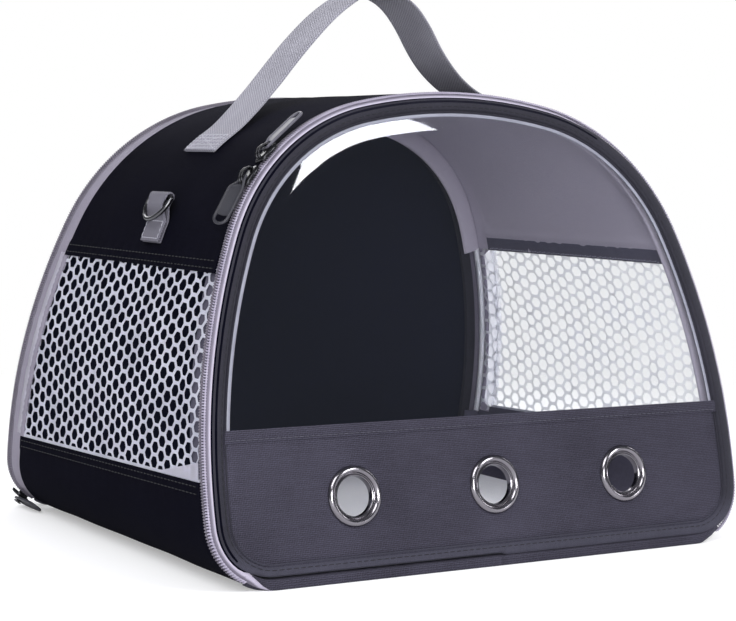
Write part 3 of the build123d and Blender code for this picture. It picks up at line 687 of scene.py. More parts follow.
def straight_seam(on, a, b):
    """Points and normals of a straight row of stitches between two places, (angle, across)."""
    found = [on(a[0] + (b[0] - a[0]) * k / 8, a[1] + (b[1] - a[1]) * k / 8) for k in range(9)]
    return [p for p, _ in found], [n for _, n in found]


# ---- outer fabric

OUTER_THICK = 1.0


def pucker(s, v, edge):
    """Small gathers next to a seam, and slow unevenness elsewhere."""
    near = math.exp(-edge / 7.0)
    gathers = sin(s * 0.62 + 3 * rough(s, v * 200, 5.0, 18.0))
    return 0.32 * near * gathers + 0.35 * rough(s, v * 200, 1.0, 34.0)


def roof_growth(s, v):
    """The roof's cloth: gathered at both zips, thicker over the hem above the mesh."""
    run = v * 200.0
    edge = min(run, 200.0 - run)
    lower = abs(abs(s) - S_MESH)
    hem = 0.45 * smooth(7.5, 6.5, lower) + 0.25 * math.exp(-lower / 9.0) * sin(run * 0.55)
    return SKIN - 0.3 + pucker(s, v, edge) * smooth(0.0, 3.0, edge) + hem


def low_growth(side):
    """The cloth below the mesh: a hem along its top, and gathers under it."""

    def growth(s, v):
        top = abs(s) - s_sill(-100 + 200 * v, SKIN)
        hem = 0.35 * smooth(7.0, 6.0, top)
        gathers = 0.2 * math.exp(-max(top, 0.0) / 8.0) * sin(v * 120)
        return SKIN - 0.25 + hem + 0.3 * rough(s, v * 200, 9.0 * side, 26.0) + gathers

    return growth


patch("roof_skin", lambda u, v: -S_MESH + 2 * S_MESH * u, between(SKIN_START, BACK_SKIN), roof_growth,
      OUTER_THICK, 150, 80, "outer", ("roof_panel",), "outer_fabric", ("front_body_tape", "back_body_tape"))
for side, name in SIDES:
    patch(f"lower_{name}", lambda u, v: side * (s_sill(-116 + 222 * v, SKIN) * (1 - u) + S_CORNER * u),
          between(SKIN_START, BACK_SKIN), low_growth(side), OUTER_THICK, 26, 80, "outer",
          (f"lower_side_{name}",), "outer_fabric", ("floor_panel",))
patch("underside", lambda u, v: S_CORNER + 2 * FLOOR_HALF * u, between(SKIN_START, SKIN_START),
      lambda s, v: SKIN - 0.05, OUTER_THICK + 0.1, 40, 30, "outer", ("floor_panel",), "outer_fabric",
      ("base_board",))

# ---- side meshes: a knitted net with real holes

CELL = 7.1                                          # from one hexagon to the next
HOLE_Y, HOLE_S = 3.4, 2.85                          # half sizes of a hole
NET_GROWTH, BACK_NET_GROWTH = 4.3, 2.7
NET_RINGS = ((0.0, 0.16), (0.42, 0.26), (1.0, 0.05))    # from a cell's edge to its hole, and half thickness
NET_STRETCH = 0.0007
NET_MIDDLE = -20.0                                  # where along the tunnel the net isn't stretched
NET_SEEDS = {1: 11.0, -1: 3.0}


def net_cell():
    """Outline of a hexagonal cell and of the rounded hole in it, 12 points each."""
    corner, top, half = 0.625 * CELL, 0.375 * CELL, CELL / 2
    six = [(corner, 0.0), (top, half), (-top, half), (-corner, 0.0), (-top, -half), (top, -half)]
    edge = []
    for a, b in zip(six, six[1:] + six[:1]):
        edge += [a, ((a[0] + b[0]) / 2, (a[1] + b[1]) / 2)]
    hole = []
    for x, y in edge:
        a = math.atan2(y / HOLE_S, x / HOLE_Y)
        bulge = 1.0 + 0.06 * cos(6 * a)
        hole.append((HOLE_Y * cos(a) * bulge, HOLE_S * sin(a) * bulge))
    return edge, hole


def front_plane(depth):
    """Plane across the tunnel behind the front door, and the way out of the net."""
    return Vector((0, -HALF + depth / CL, 0)), Vector((0, -CL, SL))


def back_plane(depth, out=1):
    return Vector((0, HALF - depth / CL, 0)), Vector((0, CL, SL)) * out


def cut_net(bm, start, end):
    """Cut a net along its seams and close the cut threads."""
    low = Vector((0.0, MESH_SLOPE, 1.0)).normalized()
    seams = (Vector((0, 0, MESH_TOP + 2.0)), Vector((0, 0, 1))), (Vector((0, 0, MESH_BOTTOM - 2.0)), -low)
    for co, no in (start, end, *seams):
        found = bmesh.ops.bisect_plane(bm, geom=bm.verts[:] + bm.edges[:] + bm.faces[:], dist=1e-5,
                                       plane_co=co, plane_no=no, clear_outer=True)
        cut = [e for e in found["geom_cut"] if isinstance(e, bmesh.types.BMEdge) and e.is_valid]
        bmesh.ops.holes_fill(bm, edges=cut, sides=0)


def net(name, side, wrinkle, nodes, growth, start, end):
    """Hexagonal net between the roof and the lower side, and between two planes across the tunnel."""
    build, seed = Build(), NET_SEEDS[side]
    edge, hole = net_cell()
    known = {}
    top_s, low_s = S_MESH - 9.0, s_sill(110.0) + 10.0
    middle_s = (top_s + low_s) / 2

    def place(y, s, lift):
        key = (round(y, 2), round(s, 2), round(lift, 3))
        if key not in known:
            jitter = 0.22 + 0.55 * math.exp(-max(s - S_MESH, 0.0) / 9.0)
            y_ = y + jitter * rough(y, s, seed, 2.3)
            s_ = s + jitter * rough(y, s, seed + 40.0, 2.3)
            y_ += NET_STRETCH / 2 * (y_ - NET_MIDDLE) ** 2
            s_ = middle_s + (s_ - middle_s) * (1.0 + NET_STRETCH * (y_ - NET_MIDDLE))
            w = wall(side * s_, growth + lift + wrinkle(y_, s_))
            known[key] = build.point(Vector((w.x, y_, w.y)), (s, y))
        return known[key]

    def cell(cy, cs):
        size = 1.0 + 0.10 * rough(cy, cs, seed, 4.0)
        holes = []
        for face in (1, -1):
            rings = [[place(cy + ex + (hx * size - ex) * share, cs + ey + (hy * size - ey) * share,
                            face * lift)
                      for (ex, ey), (hx, hy) in zip(edge, hole)] for share, lift in NET_RINGS]
            for a, b in zip(rings, rings[1:]):
                for k in range(12):
                    q = (a[k], a[(k + 1) % 12], b[(k + 1) % 12], b[k])
                    build.face(*(q if face > 0 else reversed(q)))
            holes.append(rings[-1])
        upper, under = holes
        for k in range(12):
            build.face(upper[k], upper[(k + 1) % 12], under[(k + 1) % 12], under[k])

    for i in range(-20, 21):
        for j in range(int(top_s / CELL) - 1, int(low_s / CELL) + 2):
            cy, cs = i * CELL, (j + (i % 2) / 2) * CELL
            if top_s < cs < low_s and abs(cy) <= 112.0:
                cell(cy, cs)
    bm = build.bmesh()
    cut_net(bm, start, end)
    # The right net takes the paler copy of the mesh's look, painted back light.
    finish_mesh(bm, name, "net" if side < 0 else "net_painted_backlight", "shell", nodes, "side_mesh", 60.0)


def soft_edge(y, s):
    """0 at the mesh's seams, 1 well inside."""
    return smooth(0.0, 16.0, min(s - S_MESH, s_sill(y) - s, 100.0 - abs(y - 8.0)))


def left_wrinkle(y, s):
    return soft_edge(y, s) * (0.9 * rough(y, s, 3.0, 38.0) - 0.5 + 0.3 * rough(y, s, 8.0, 13.0))


def right_wrinkle(y, s):
    return soft_edge(y, s) * (1.1 * rough(y, s * 0.25, 21.0, 9.0) - 0.6 + 0.6 * rough(y, s, 24.0, 30.0))


for side, name, wrinkle in ((-1, "left", left_wrinkle), (1, "right", right_wrinkle)):
    net(f"net_{name}", side, wrinkle, (f"side_mesh_{name}",), NET_GROWTH, front_plane(SKIN_START - 0.5),
        back_plane(BACK_SKIN - 0.5))
for side, name in SIDES:
    net(f"net_back_{name}", side, lambda y, s: 0.0, (), BACK_NET_GROWTH, back_plane(BACK_SKIN + 1.0, -1),
        back_plane(4.0))


def torn_edge(side):
    """y_of for the mesh's edge beside the back zip: a narrow strip with an uneven side."""
    return lambda z, v: (-y_front(z, BACK_SKIN + 3.4 * (1 - v)) + 0.6 * v
                         + 1.2 * rough(z, v, 200.0 + side, 3.0))


NET_BAND = between(7.2, BACK_SKIN - 0.3)
for side, name in SIDES:
    # on the right the narrow mesh edge takes the paler copy of the sheer cloth, painted back light
    patch(f"net_back_edge_{name}", lambda u, v: side * (S_MESH - 1 + (s_sill(90.0) + 2 - S_MESH) * u),
          torn_edge(side), lambda s, v: 4.75 + 0.12 * sin(s * 2.1), 0.7, 140, 4,
          "sheer_painted_backlight" if side > 0 else "back_tape", (), "side_mesh")
    patch(f"net_foot_{name}", lambda u, v: side * (s_sill(-115 + 212 * v, 4.8) - 1.2 + 3.2 * u), NET_BAND,
          lambda s, v: 4.6 + 0.1 * sin(v * 260), 0.8, 5, 90, "selvedge", (), "side_mesh")
    patch(f"net_head_{name}", lambda u, v: side * (S_MESH - 0.4 - 3.4 * u), NET_BAND,
          lambda s, v: 3.9 + 0.1 * sin(v * 220), 0.5, 4, 90, "selvedge", (), "side_mesh")

# the mesh is folded double in the left side's lower front corner
FOLD_LENGTH, FOLD_HEIGHT, FOLD_NARROWS = 40.0, 8.0, 7.6


def fold_s(u, v):
    high = (FOLD_HEIGHT - FOLD_NARROWS * v) * (1 - u)
    return -(s_sill(-115 + FOLD_LENGTH * v, 4.8) - 0.5 - high)


patch("net_fold_left", fold_s, lambda z, v: y_front(z, 7.0) + FOLD_LENGTH * v,
      lambda s, v: 4.9 + 0.25 * rough(s, v * FOLD_LENGTH, 160.0, 5.0), 0.35, 10, 40, "sheer", (), "side_mesh")

# ---- linings and facings inside

LINING_FRONT, LINING_BACK = SKIN_START + 11.0, SKIN_START + 13.0
HEM_LOW, HEM_HIGH = MESH_TOP + 0.6, MESH_TOP + 7.6
S_LINING, S_HEM = s_at_level(HEM_LOW, FACING), s_at_level(HEM_HIGH, FACING)
LINING_SPAN = between(LINING_FRONT, LINING_BACK)


def lining_growth(s, v):
    """Soft folds, and a sag just above the hem that makes a crease."""
    sag = math.exp(-((abs(s) - S_HEM + 3.0) / 2.2) ** 2)
    fold = 0.5 * rough(s * 0.4, v * 160, 50.0, 24.0) * smooth(0.0, 12.0, S_HEM - abs(s))
    return FACING - 0.5 + fold - (1.0 + 0.7 * rough(s, v * 160, 55.0, 14.0)) * sag


def low_lining(side):
    """s_of for the lining below the mesh, down to the floor."""
    return lambda u, v: side * (s_at_level(MESH_BOTTOM + 0.3 - (-95 + 195 * v) * MESH_SLOPE, FACING) * (1 - u)
                                + S_CORNER * u)


patch("roof_lining_cloth", lambda u, v: -S_LINING + 2 * S_LINING * u, LINING_SPAN, lining_growth, 0.5,
      260, 60, "lining", ("roof_lining",), "lining_fabric", ("front_facing", "back_facing"))
for side, name in SIDES:
    patch(f"lower_lining_cloth_{name}", low_lining(side), LINING_SPAN,
          lambda s, v: FACING - 0.2 + 0.15 * rough(s, v * 160, 60.0, 20.0), 0.55, 26, 40, "facing",
          (f"lower_lining_{name}",), "lining_fabric", ("floor_panel",))
    patch(f"lining_hem_{name}", lambda u, v: side * (S_HEM + (S_LINING - S_HEM + 0.3) * u), LINING_SPAN,
          lambda s, v: FACING - 0.75 + 0.12 * sin(v * 95) + 0.25 * rough(s, v * 160, 65.0, 9.0), 0.5, 8, 90,
          "facing", (), "lining_fabric")
    points, normals = wall_line(lambda v: side * (S_LINING - 1.0 + 0.35 * sin(v * 230)),
                                between(LINING_FRONT + 2, LINING_BACK + 2), FACING - 1.5, 120)
    seam_row(f"lining_stitches_{name}", [(points, [-n for n in normals])], "thread_light", "shell",
             "lining_fabric", length=1.3, gap=1.0, width=0.45)

S_LOW, S_TOP = s_sill(100.0) + 3.0, s_at_angle(30.0)
FRONT_FACING, BACK_FACING = (rounded(CABIN + 0.05, FACING, SKIN_START, end, 20, 8.0)
                             for end in (LINING_FRONT, LINING_BACK))
SLEEVE_START, SLEEVE_END = 7.9, 11.1                # depths of the sleeve round the rim's stiffener
FRONT_SLEEVE, BACK_SLEEVE = (rounded(inner, CABIN, SLEEVE_START, SLEEVE_END, 16, 2.6)
                             for inner in (-5.0, -8.0))
TUBE = rounded(-1.3, CABIN - 0.1, SLEEVE_START - 0.05, SLEEVE_END + 0.05, 16, 2.1)
# The right side takes the paler, more see-through copy of the sheer cloth: painted back light.
SHEER = {1: "sheer_painted_backlight", -1: "sheer"}

for kind, front, rear in (("facing", FRONT_FACING, BACK_FACING), ("sleeve", FRONT_SLEEVE, BACK_SLEEVE)):
    tunnel_strip(f"front_{kind}_cloth", steps(-S_TOP, S_ZIP), front, "lining", (f"front_{kind}",))
    tunnel_strip(f"front_{kind}_left", steps(-S_ZIP, -S_TOP), front, "facing")
    tunnel_strip(f"back_{kind}_cloth", steps(-S_LINING, S_LINING), rear, "lining", (f"back_{kind}",), True)
    for side, name in SIDES:
        tunnel_strip(f"back_{kind}_low_{name}", steps(S_LOW, S_ZIP, side=side), rear, "facing", (), True)
        if kind == "sleeve":
            tunnel_strip(f"back_sleeve_mesh_{name}", steps(S_LINING - 0.5, S_LOW + 0.5, side=side), TUBE,
                         SHEER[side], (), True, "side_mesh")

# ---- zips

TOOTH = 1.25                                        # from one tooth to the next
TOOTH_INNER, TOOTH_TIP = 0.95, 3.15                 # depths of a door's teeth; the body's mirror them
TOOTH_FOOT = TAPE - 0.1
TOOTH_RUN = ((0.0, 0.25, 0.26), (0.12, 0.8, 0.28), (0.45, 1.2, 0.3), (0.8, 1.35, 0.36), (0.97, 1.0, 0.36),
             (1.0, 0.3, 0.3))                       # share of its length, height, half width
TAPE_SHAPE = [(0.0, 0.35), (1.0, 0.25), (1.8, 0.3), (2.6, 0.55), (3.25, 1.05), (3.7, 1.85), (3.8, 3.2),
              (3.0, 3.2), (2.8, 2.2), (2.3, 1.5), (1.6, 1.15), (0.0, 1.1)]
GAP_SHADOW_SHAPE = [(-1.3, -0.5), (-0.9, -1.16), (-0.1, -1.02), (0.9, -0.35), (1.6, 0.15), (1.6, 0.9), (-1.0, 0.9)]


def teeth(name, back, on_door, body, look):
    """One half of a coil zip: a tooth at each turn of the coil, on a cord along the tape."""
    build = Build()
    inner, tip = (TOOTH_INNER, TOOTH_TIP) if on_door else (2 * SEAM - TOOTH_INNER, 2 * SEAM - TOOTH_TIP)
    for i in range(int(2 * S_ZIP / TOOTH)):
        s0 = -S_ZIP + TOOTH * (i + (0.25 if on_door else 0.75))
        rows, uvs = [], []
        for f, top, wide in TOOTH_RUN:
            d = inner + (tip - inner) * f
            s = s0 + 0.28 * (f - 0.5)
            section = [(s + ds * wide, TOOTH_FOOT + top * high) for ds, high in (
                (-1, 0.0), (-1, 0.7), (-0.5, 1.0), (0.5, 1.0), (1, 0.7), (1, 0.0))]
            if on_door:
                rows.append([door(at_rim(t, g), d, back) for t, g in section])
            else:
                rows.append([ring_point(t, g, d, back) for t, g in section])
            uvs.append([(s, d + k) for k in range(6)])
        build.loft(rows, uvs)
    cord = [(TOOTH_FOOT - 0.05 + 0.3 * (1 + cos(a)), inner + (0.7 if on_door else -0.7) + 0.4 * sin(a))
            for a in circle(8)]
    rim_sweep(None, steps(-S_ZIP, S_ZIP, 4.0), cord, None, None, back=back, drawn=on_door, build=build)
    half = "door" if on_door else "body"
    build.piece(f"{name}_{half}_teeth", look, body, (f"{name}_{half}_coil",), "zip_coil", 50.0)


def front_tape(s):
    """The front tape sinks behind the binding on the right of the arch."""
    sunk = smooth(s_at_angle(8.0), s_at_angle(45.0), s)
    return [(g * (1.0 - 0.5 * sunk), d + 0.45 * sunk) for g, d in TAPE_SHAPE]


def seam_gap_painted_shadow(s):
    """Near-black strip in the groove between the binding and the tape, a painted shadow; it sinks away at the
    zip's end.
    """
    full = min(max((S_ZIP - abs(s)) / 10.0, 0.01), 1.0) ** 0.3
    return [(g * full, 0.9 + (d - 0.9) * full) for g, d in GAP_SHADOW_SHAPE]


def back_tape(s):
    """Tape in front of the back zip, with a woven edge; beside the mesh it is narrow."""
    beside = smooth(S_MESH - 3, S_MESH + 3, abs(s)) * smooth(S_LOW, S_LOW - 6, abs(s))
    wave = 0.10 * sin(s * 0.7) + 0.25 * rough(s, 0.0, 70.0, 25.0)
    start, end = 4.4, 23.7
    spread = (end - 11.7 * beside - start) / (end - start)
    outside = [(TAPE - 0.05, start), (TAPE, 6.7), (TAPE + 0.1 + wave, 9.0), (TAPE + 0.25 + wave, 13.0),
               (TAPE + 0.1 + wave, 17.5), (TAPE - 0.05, 20.0), (TAPE - 0.1, end)]
    under = [(FACING, d) for d in (end, 17.0, 10.0, start)]
    return [(g, start + (d - start) * spread) for g, d in outside + under]


def sheer_tape(s):
    """Thin crinkled cloth between the back tape and the mesh."""
    fold = [0.35 * rough(s, d, 75.0, 5.0) for d in (12.0, 14.0, 16.0, 18.5, 21.0)]
    crinkled = [(TAPE + 0.3 + fold[k], d) for k, d in ((1, 14.5), (2, 17.0), (3, 19.0))]
    end = 21.0 + fold[4] * 3
    far_edge = [(TAPE + 0.2, end), (TAPE - 0.25, end)]
    return [(TAPE - 0.35, 11.5), (TAPE + 0.2 + fold[0], 12.5), *crinkled, *far_edge, (TAPE - 0.35, 17.0)]


for back, name in ENDS:
    teeth(name, back, True, f"{name}_door", "body_coil" if back else "coil")
    teeth(name, back, False, "shell", "body_coil")
    rim_sweep(f"{name}_door_tape_cloth", steps(-S_ZIP, S_ZIP), TAPE_SHAPE if back else front_tape, "tape",
              f"{name}_door", (f"{name}_door_tape",), "zip_tape", back, sharp=60.0)
# A near-black strip painted into the groove beside the binding, on the left and over the top of the arch, as
# its shadow.
rim_sweep("front_seam_gap", steps(-S_ZIP, S_TOP), seam_gap_painted_shadow, "outer", "front_door", (), "binding")
tunnel_strip("front_body_tape_cloth", steps(-S_ZIP, S_ZIP), rounded(FACING, TAPE, 4.4, 7.6, 12, 6.0),
             "body_tape", ("front_body_tape",), False, "zip_tape")
tunnel_strip("back_body_tape_cloth", steps(-S_ZIP, S_ZIP), back_tape, "back_tape", ("back_body_tape",), True,
             "zip_tape")
for side, name in SIDES:
    tunnel_strip(f"back_sheer_{name}", steps(S_MESH - 1.5, S_LOW - 4.0, 2.0, side), sheer_tape,
                 SHEER[side], (), True, "side_mesh")

# ---- doors

STITCH_GROWTH, STITCH_DEPTH = -3.1, -1.0            # of the binding's seam
PANEL_GROWTH = -1.5                                 # of the panels' hidden edges, inside the binding
PANEL_LOW = LIFT + 1.6
HEM = 5.6
EYELETS = [Vector((x, 38.3)) for x in (-77.0, 0.0, 77.0)]
EYELET_HOLE = 11.4                                  # in the panel, hidden by the flange
BOW, BOW_REACH, SILL_REACH = 1.9, 15.0, 42.0        # of the window film
FRONT_OUT = Vector((0.0, -CL, SL))
BINDING_FACE = [(-6.0, 0.8), (-6.05, 0.2), (-5.75, -0.3), (-5.35, -0.25), (-5.0, 0.35), (-4.6, 0.3),
                (-4.2, -0.55), (-3.5, -0.95), (-2.2, -1.12), (-0.9, -1.05)]
BINDING_REAR = [(-0.35, 0.9), (-0.4, 2.9), (-3.0, 3.0), (-5.8, 2.9)]


def binding_profile(s):
    """Rounded binding with a groove along its inner edge; it stands out further on the right of the arch."""
    low = smooth(S_ZIP - 12.0, S_ZIP + 8.0, abs(s))
    out = 1.0 - 1.3 * low + smooth(s_at_angle(12.0), s_at_angle(45.0), s)
    outer = [(out - 0.45, -0.8), (out, -0.35), (out - 0.15, 0.15)]
    shape = BINDING_FACE + outer + BINDING_REAR
    return [(g, d + 0.05 * rough(s, g, 80.0, 3.0)) for g, d in shape]


for back, name in ENDS:
    rim_sweep(f"{name}_binding_cloth", WHOLE, binding_profile, "binding", f"{name}_door",
              (f"{name}_binding",), "binding", back, closed=True)
    points = [door(at_rim(s, STITCH_GROWTH), STITCH_DEPTH, back) for s in WHOLE + WHOLE[:1]]
    normal = Vector((0.0, CL if back else -CL, SL))
    seam_row(f"{name}_binding_cloth_stitches", [(points, [normal] * len(points))], "thread", f"{name}_door",
             "binding", width=0.35, height=0.16)


def panel_relief(x, w):
    """How far the front panel bulges towards the viewer, with small gathers round the eyelets."""
    value = 0.5 * rough(x, w, 90.0, 40.0) + 0.12 * rough(x, w, 95.0, 11.0)
    for e in EYELETS:
        away = math.hypot(x - e.x, w - e.y)
        value *= smooth(12.0, 26.0, away)
        if 12.0 < away < 24.0:
            value += 0.10 * smooth(24.0, 15.0, away) * sin(7 * math.atan2(w - e.y, x - e.x) + e.x)
    groove = 0.85 * smooth(1.5, 0.1, min(half_width(w, -5.5) - abs(x), w - LIFT - 5.5))
    return value * smooth(0.0, 18.0, min(w - 7.3, PANEL_TOP - w + 4.0)) - groove


def hem_relief(x, w):
    return 0.18 * sin(pi * (w - PANEL_TOP + HEM) / (HEM + 0.15)) + 0.08 * rough(x, 0, 99.0, 9.0)


def door_panel(name, low, high, growth, front, back_face, nodes, rows, cols, relief, holes=()):
    """Cloth of the front door between two heights, following the rim at its sides."""

    def at(u, v):
        w = low + (high - low) * u
        x = half_width(w, growth) * (2 * v - 1)
        bulge = relief(x, w)
        return door(Vector((x, w)), front - bulge), door(Vector((x, w)), back_face - bulge), (x, w)

    top, under, uv = grids(rows, cols, at)

    def keep(i, j):
        x = (uv[i][j][0] + uv[i][j + 1][0] + uv[i + 1][j][0] + uv[i + 1][j + 1][0]) / 4
        w = (uv[i][j][1] + uv[i + 1][j][1]) / 2
        return all(math.hypot(x - h.x, w - h.y) > EYELET_HOLE for h in holes)

    build = Build()
    build.sheet(top, under, uv, keep)
    build.piece(name, "panel", "front_door", nodes, "panel_fabric")


def film_relief(x, w, edge):
    """The film bows outwards inside the binding and above the panel, and is nearly flat in the middle."""
    near = min(max(min((edge - 4.0) / BOW_REACH, (w - PANEL_TOP - 0.6) / SILL_REACH), 0.0), 1.0)
    waves = 0.5 * rough(x, w, 120.0, 85.0) + 0.03 * rough(x, w, 125.0, 26.0)
    return BOW * (1 - (1 - near) ** 2) + near * waves


def back_relief(x, w, edge):
    return smooth(0.0, 22.0, edge) * (1.0 + 1.6 * rough(x, w, 130.0, 60.0) + 0.3 * rough(x, w, 133.0, 16.0))


def arch_edge(low):
    """Edge of the whole arch, or of its part above a height, with the ways out."""
    edge = [(at_rim(s, PANEL_GROWTH), rim(s)[1]) for s in WHOLE if at_rim(s, PANEL_GROWTH).y > low]
    if low > LIFT:
        wide = half_width(low, PANEL_GROWTH)
        count = int(2 * wide / 3.4)
        edge += [(Vector((wide - 2 * wide * k / count, low)), Vector((0.0, -1.0))) for k in range(count + 1)]
    return edge


def disc(name, low, front, thick, look, body, nodes, slot, back, relief, rings):
    """The arch filled with rings that shrink towards its middle, closer together at the edge."""
    edge = arch_edge(low)
    middle = Vector((0.0, (low + 222.0) / 2))
    build = Build()

    def ring(share):
        found = []
        for q, n in edge if share else [(middle, None)]:
            p = middle.lerp(q, share)
            at = front - relief(p.x, p.y, (q - p).dot(n) if n else 90.0)
            found.append([build.point(door(p, at + t, back), (p.x, p.y)) for t in (0.0, thick)])
        return list(zip(*found))

    levels = [ring(1.0 - (i / rings) ** 1.7) for i in range(rings + 1)]
    around = [(k, (k + 1) % len(edge)) for k in range(len(edge))]
    for (top_a, under_a), (top_b, under_b) in zip(levels[:-1], levels[1:-1]):
        for k, q in around:
            build.face(top_a[k], top_a[q], top_b[q], top_b[k])
            build.face(under_a[q], under_a[k], under_b[k], under_b[q])
    outer_top, outer_under = levels[0]
    last_top, last_under = levels[-2]
    centre_top, centre_under = levels[-1]
    for k, q in around:
        build.face(last_top[k], last_top[q], centre_top[0])
        build.face(last_under[q], last_under[k], centre_under[0])
        build.face(outer_top[q], outer_top[k], outer_under[k], outer_under[q])
    build.piece(name, look, body, nodes, slot)


door_panel("front_panel_cloth", PANEL_LOW, PANEL_TOP, PANEL_GROWTH, -0.6, 0.6, ("front_panel",), 64, 190,
           panel_relief, EYELETS)
door_panel("front_hem_cloth", PANEL_TOP - HEM, PANEL_TOP + 0.15, -4.9, -0.95, -0.45, ("front_panel_hem",), 8,
           150, hem_relief)
disc("window_film_clear", FILM_BOTTOM, 0.6, 0.4, "film", "front_door", ("window_film",), "window_film", False,
     film_relief, 34)
disc("back_panel_cloth", 0.0, -0.6, 1.2, "inside", "back_door", ("back_panel",), "panel_fabric", True,
     back_relief, 30)
# Pale opaque strip along the film's edge inside the binding: a painted highlight.
rim_sweep("window_film_edge", [s for s in WHOLE if rim(s)[0].y > PANEL_TOP - 1.0 and abs(s) < S_CORNER],
          rounded(-7.7, -6.05, -0.2, 0.65, 12, 2.4), "film_edge_painted_highlight", "front_door", (), "window_film")

# ---- sills and hinge strips

TAIL_START, TAIL_END = S_ZIP - 1.0, s_at_angle(178.0)
UNDER = [s for s in WHOLE if s > TAIL_START] + [s for s in WHOLE if s < -TAIL_START]
HINGE_SHAPE = [(0.9, -0.2), (1.15, -0.75), (2.0, -1.0), (3.2, -0.98), (3.7, -0.7), (2.0, -0.5)]
SILL_FRONT = ((0.5, 0.3), (0.85, -0.5), (1.75, -0.85), (4.45, -0.7), (5.3, -0.2))


def sill_edge(s):
    """Outer edge of the cloth below the door: it starts at the zip's end and is full along the floor."""
    return 0.55 + 5.15 * smooth(TAIL_START, TAIL_END, abs(s)) ** 1.3


def sill_profile(s):
    """Cloth below the door, up to where the zip's tail lies over it."""
    low = sill_edge(s)
    thin = (low - 0.25) / 5.45
    rear = 4.9 + 0.8 * thin
    front = [(0.25 + g * thin, d) for g, d in SILL_FRONT]
    behind = [(rear - 0.05, 6.6), (2.0, 6.7), (0.3, 6.6), (0.25, 3.5)]
    return [(0.25, 1.2), *front, (low, 0.8), (rear, 3.7), *behind]


def tail_profile(s):
    """The zip's tape runs on round the corner outside the sill and narrows to a point."""
    low = sill_edge(s) - 0.3
    top = max(TAPE + 1.55 * smooth(TAIL_START, TAIL_START + 12.0, abs(s)), low + 0.4)
    return [(low + (top - low) * g / TAPE, d) for g, d in TAPE_SHAPE]


for back, name in ENDS:
    rim_sweep(f"{name}_sill_cloth", UNDER, sill_profile, "panel", "shell", (f"{name}_sill",), "outer_fabric",
              back)
    rim_sweep(f"{name}_hinge_cloth", [s for s in UNDER if abs(s) > S_CORNER + 2.0], HINGE_SHAPE, "panel",
              "shell", (f"{name}_hinge_strip",), "outer_fabric", back)
    for side, half in SIDES:
        rim_sweep(f"{name}_tape_tail_{half}", steps(TAIL_START, TAIL_END, 1.5, side), tail_profile,
                  "binding" if back or side > 0 else "tape", "shell", (), "zip_tape", back)

# ---- eyelets

EYELET_SHAPE = [
    (9.0, -2.4), (9.0, -0.6), (9.05, 0.0), (9.25, 0.45), (9.6, 0.7), (10.0, 0.68), (10.3, 0.4),
    (10.5, 0.5), (10.8, 1.15), (11.3, 1.8), (12.0, 2.1), (12.7, 1.95), (13.3, 1.5), (13.75, 0.85),
    (14.0, 0.2), (13.9, 0.02), (13.0, 0.02), (9.9, 0.02), (9.9, -1.9), (10.6, -2.0), (10.8, -2.2),
    (10.6, -2.4),
]


def eyelet(name, middle):
    """Pressed metal ring: a rolled flange in front, a barrel turned over behind; (radius, height) turned."""
    side = FRONT_OUT.orthogonal().normalized()
    other = FRONT_OUT.cross(side)
    rows, uvs = [], []
    for a in circle(72):
        arm = side * cos(a) + other * sin(a)
        rows.append([middle + arm * r + FRONT_OUT * z for r, z in EYELET_SHAPE])
        uvs.append([(a * 10, i) for i in range(len(EYELET_SHAPE))])
    build = Build()
    build.loft(rows, uvs, closed=True)
    build.piece(f"eyelet_ring_{name}", "nickel", "front_door", (f"eyelet_{name}",), "eyelet_metal", 30.0)


for place, name in zip(EYELETS, ("left", "middle", "right")):
    eyelet(name, door(place, -0.6))

# ---- mat

MAT_X, MAT_Y = FLOOR_HALF - 0.4, 253.0 / 2 - 7.9 / CL - 0.4     # half sizes
MAT_TOP, MAT_THICK, MAT_CORNER, MAT_BORDER = 9.38, 5.2, 10.0, 8.0


def mat_point(u, v):
    """Thin foam mat with a crowned top, rounded corners and a sewn border; grid lines closer at its edges."""
    x, y = (half * (sin((2 * share - 1) * pi / 2) * 0.35 + (2 * share - 1) * 0.65)
            for half, share in ((MAT_X, u), (MAT_Y, v)))
    dx, dy = max(abs(x) - MAT_X + MAT_CORNER, 0.0), max(abs(y) - MAT_Y + MAT_CORNER, 0.0)
    far = math.hypot(dx, dy)
    if far > MAT_CORNER:
        x -= math.copysign(dx * (1 - MAT_CORNER / far), x)
        y -= math.copysign(dy * (1 - MAT_CORNER / far), y)
    edge = min(MAT_X - abs(x), MAT_Y - abs(y))
    crown = 1 - math.exp(-max(edge, 0.0) / 2.2)
    seam = 0.7 * math.exp(-((edge - MAT_BORDER) / 1.3) ** 2)
    z = MAT_TOP - MAT_THICK / 2 + (MAT_THICK / 2 + 0.25 * rough(x, y, 140.0, 24.0) - 0.25) * crown - seam
    return Vector((x, y, z)), Vector((x, y, MAT_TOP - MAT_THICK + 0.05 + (1 - crown))), (x, y)


mat = Build()
mat.sheet(*grids(60, 60, mat_point))
mat.piece("mat_pad", "mat", "shell", ("floor_mat",), "mat_fabric")

# ---- handle

